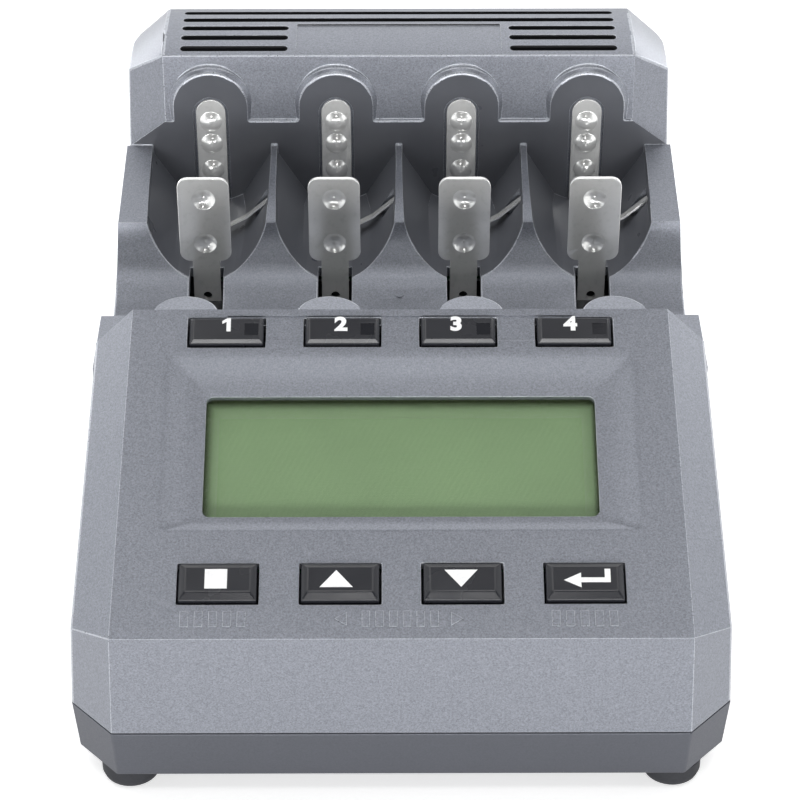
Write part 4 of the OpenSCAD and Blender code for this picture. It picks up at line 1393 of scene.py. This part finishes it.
@dataclass
class Internals:
    """Boards, fan and sockets."""

    palette: Palette

    def build(self) -> None:
        """Dress what sits inside the case."""
        dress(self.palette.black, "fan_frame", "fan_rotor", "dc_jack")
        dress(self.palette.board, "main_board")
        dress(self.palette.sink, "heat_sink")
        dress(self.palette.steel, "usb_socket", "board_screws")
        LOG.info("internals: dressed")


@dataclass(frozen=True)
class Lamp:
    """One soft rectangular lamp that faces the object."""

    name: str
    place: Triple
    size: Pair
    power: float
    target: Triple = (0.0, 0.0, 0.03)

    def build(self) -> None:
        """Put the lamp into the scene."""
        light = bpy.data.lights.new(self.name, "AREA")
        light.shape = "RECTANGLE"
        light.size, light.size_y = self.size
        light.energy = self.power
        obj = bpy.data.objects.new(self.name, light)
        bpy.context.scene.collection.objects.link(obj)
        obj.location = self.place
        aim = Vector(self.target) - Vector(self.place)
        obj.rotation_euler = aim.to_track_quat("-Z", "Y").to_euler()


@dataclass
class Studio:
    """Floor, light and camera."""

    eye: Triple = (-0.0014, -0.389, 0.299)
    turn: float = -0.21
    pitch: float = 35.1
    lens: float = 119.34
    ambient: float = 0.38
    lift: float = 0.58
    far: Pair = (0.45, 0.8)
    ceiling: float = 0.2
    dome: Pair = (0.3, 0.9)
    gap_towards: Triple = (0.0, -0.77, 0.64)
    gap_cosines: Pair = (0.68, 0.93)
    gap_level: float = 0.08
    tent: Triple = (0.97, 0.985, 1.0)
    floor_half: float = 3.0
    floor_pale: Pair = (0.86, 0.88)
    lamps: tuple[Lamp, ...] = (
        Lamp("top_front_softbox", (0.0, -0.27, 0.87), (0.45, 0.18), 1.1),
        Lamp("top_rear_softbox", (0.0, 0.66, 0.74), (1.0, 0.3), 1.5),
        Lamp("top_left_softbox", (-0.4, 0.16, 0.86), (0.35, 0.6), 1.3),
        Lamp("top_right_softbox", (0.4, 0.16, 0.86), (0.35, 0.6), 1.1),
        Lamp("front_strip", (0.0, -0.95, 0.14), (1.1, 0.22), 6.7),
        Lamp("front_spark", (0.0, -0.62, 0.56), (0.1, 0.07), 0.3),
        Lamp("left_softbox", (-0.85, -0.1, 0.3), (0.7, 0.5), 0.9),
        Lamp("right_softbox", (0.85, -0.1, 0.3), (0.7, 0.5), 0.9),
        Lamp("rear_left_softbox", (-0.75, 0.8, 0.1), (0.5, 0.25), 2.0),
        Lamp("rear_right_softbox", (0.75, 0.8, 0.1), (0.5, 0.25), 2.0),
        Lamp("rear_softbox", (0.0, 0.9, 0.45), (1.0, 0.5), 1.2),
    )

    def floor(self) -> None:
        """A pale floor that keeps the shadow and shows white to the camera and in metal and glass."""
        mesh = bpy.data.meshes.new("studio_floor")
        h = self.floor_half
        mesh.from_pydata([(-h, -h, 0), (h, -h, 0), (h, h, 0), (-h, h, 0)], [], [(0, 1, 2, 3)])
        g = Graph("floor_pale")
        low, high = self.floor_pale
        grain = g.ramp(g.noise(40.0), [(0.3, (low,) * 3), (0.7, (high,) * 3)])
        material = g.surface(base_color=grain, roughness=0.9)
        shader = g.output.inputs["Surface"].links[0].from_socket
        away = g.add("ShaderNodeVectorMath", operation="LENGTH")
        g.link(g.coords, away.inputs[0])
        level = g.spread(away.outputs["Value"], self.lift, 1.0, self.far)
        glow = g.add("ShaderNodeEmission", color=(1, 1, 1), strength=g.both("MULTIPLY", g.seen(), level))
        total = g.add("ShaderNodeAddShader")
        g.link(shader, total.inputs[0])
        g.link(glow.outputs[0], total.inputs[1])
        g.link(total.outputs[0], g.output.inputs["Surface"])
        Maker.piece("studio_floor", mesh, material)

    def world(self) -> None:
        """A white tent with a dark gap round the camera, which the camera itself sees as white."""
        g = Graph("studio_world", world=True)
        where = g.add("ShaderNodeTexCoord").outputs["Generated"]
        facing = g.add("ShaderNodeVectorMath", operation="DOT_PRODUCT")
        facing.inputs[1].default_value = self.gap_towards
        g.link(where, facing.inputs[0])
        gap = g.spread(facing.outputs["Value"], 1.0, self.gap_level, self.gap_cosines, "SMOOTHSTEP")
        height = g.add("ShaderNodeSeparateXYZ", vector=where).outputs["Z"]
        dome = g.spread(height, 1.0, self.ceiling, self.dome, "SMOOTHSTEP")
        level = g.spread(g.seen(), self.ambient, dome)
        tent = g.add("ShaderNodeBackground", color=self.tent, strength=g.both("MULTIPLY", level, gap))
        plain = g.add("ShaderNodeBackground", color=(1, 1, 1))
        mix = g.add("ShaderNodeMixShader")
        sources = (g.add("ShaderNodeLightPath").outputs["Is Camera Ray"], tent.outputs[0], plain.outputs[0])
        for source, socket in zip(sources, mix.inputs):
            g.link(source, socket)
        g.link(mix.outputs[0], g.output.inputs["Surface"])
        bpy.context.scene.world = g.owner

    def camera(self) -> None:
        """The camera at the photograph's viewing angle."""
        data = bpy.data.cameras.new("photo_camera")
        data.sensor_width = 36.0
        data.lens = self.lens
        data.clip_start = 0.01
        data.clip_end = 20.0
        obj = bpy.data.objects.new("photo_camera", data)
        bpy.context.scene.collection.objects.link(obj)
        obj.location = self.eye
        obj.rotation_euler = (math.radians(90 - self.pitch), 0, math.radians(self.turn))
        bpy.context.scene.camera = obj

    def build(self) -> None:
        """Set the studio up."""
        self.floor()
        self.world()
        self.camera()
        for lamp in self.lamps:
            lamp.build()
        bpy.context.scene.view_settings.view_transform = "Standard"


def main() -> None:
    """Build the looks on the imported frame."""
    logging.basicConfig(level=logging.INFO, format="%(name)s: %(message)s")
    FRAME.update(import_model())
    palette = Palette()
    panel = Panel()
    for part in (
        Housing(palette, panel),
        Keypad(palette, panel),
        Relief(palette, panel),
        Display(palette, panel),
        CellContacts(palette),
        Internals(palette),
        Studio(),
    ):
        part.build()


if __name__ == "__main__":
    main()
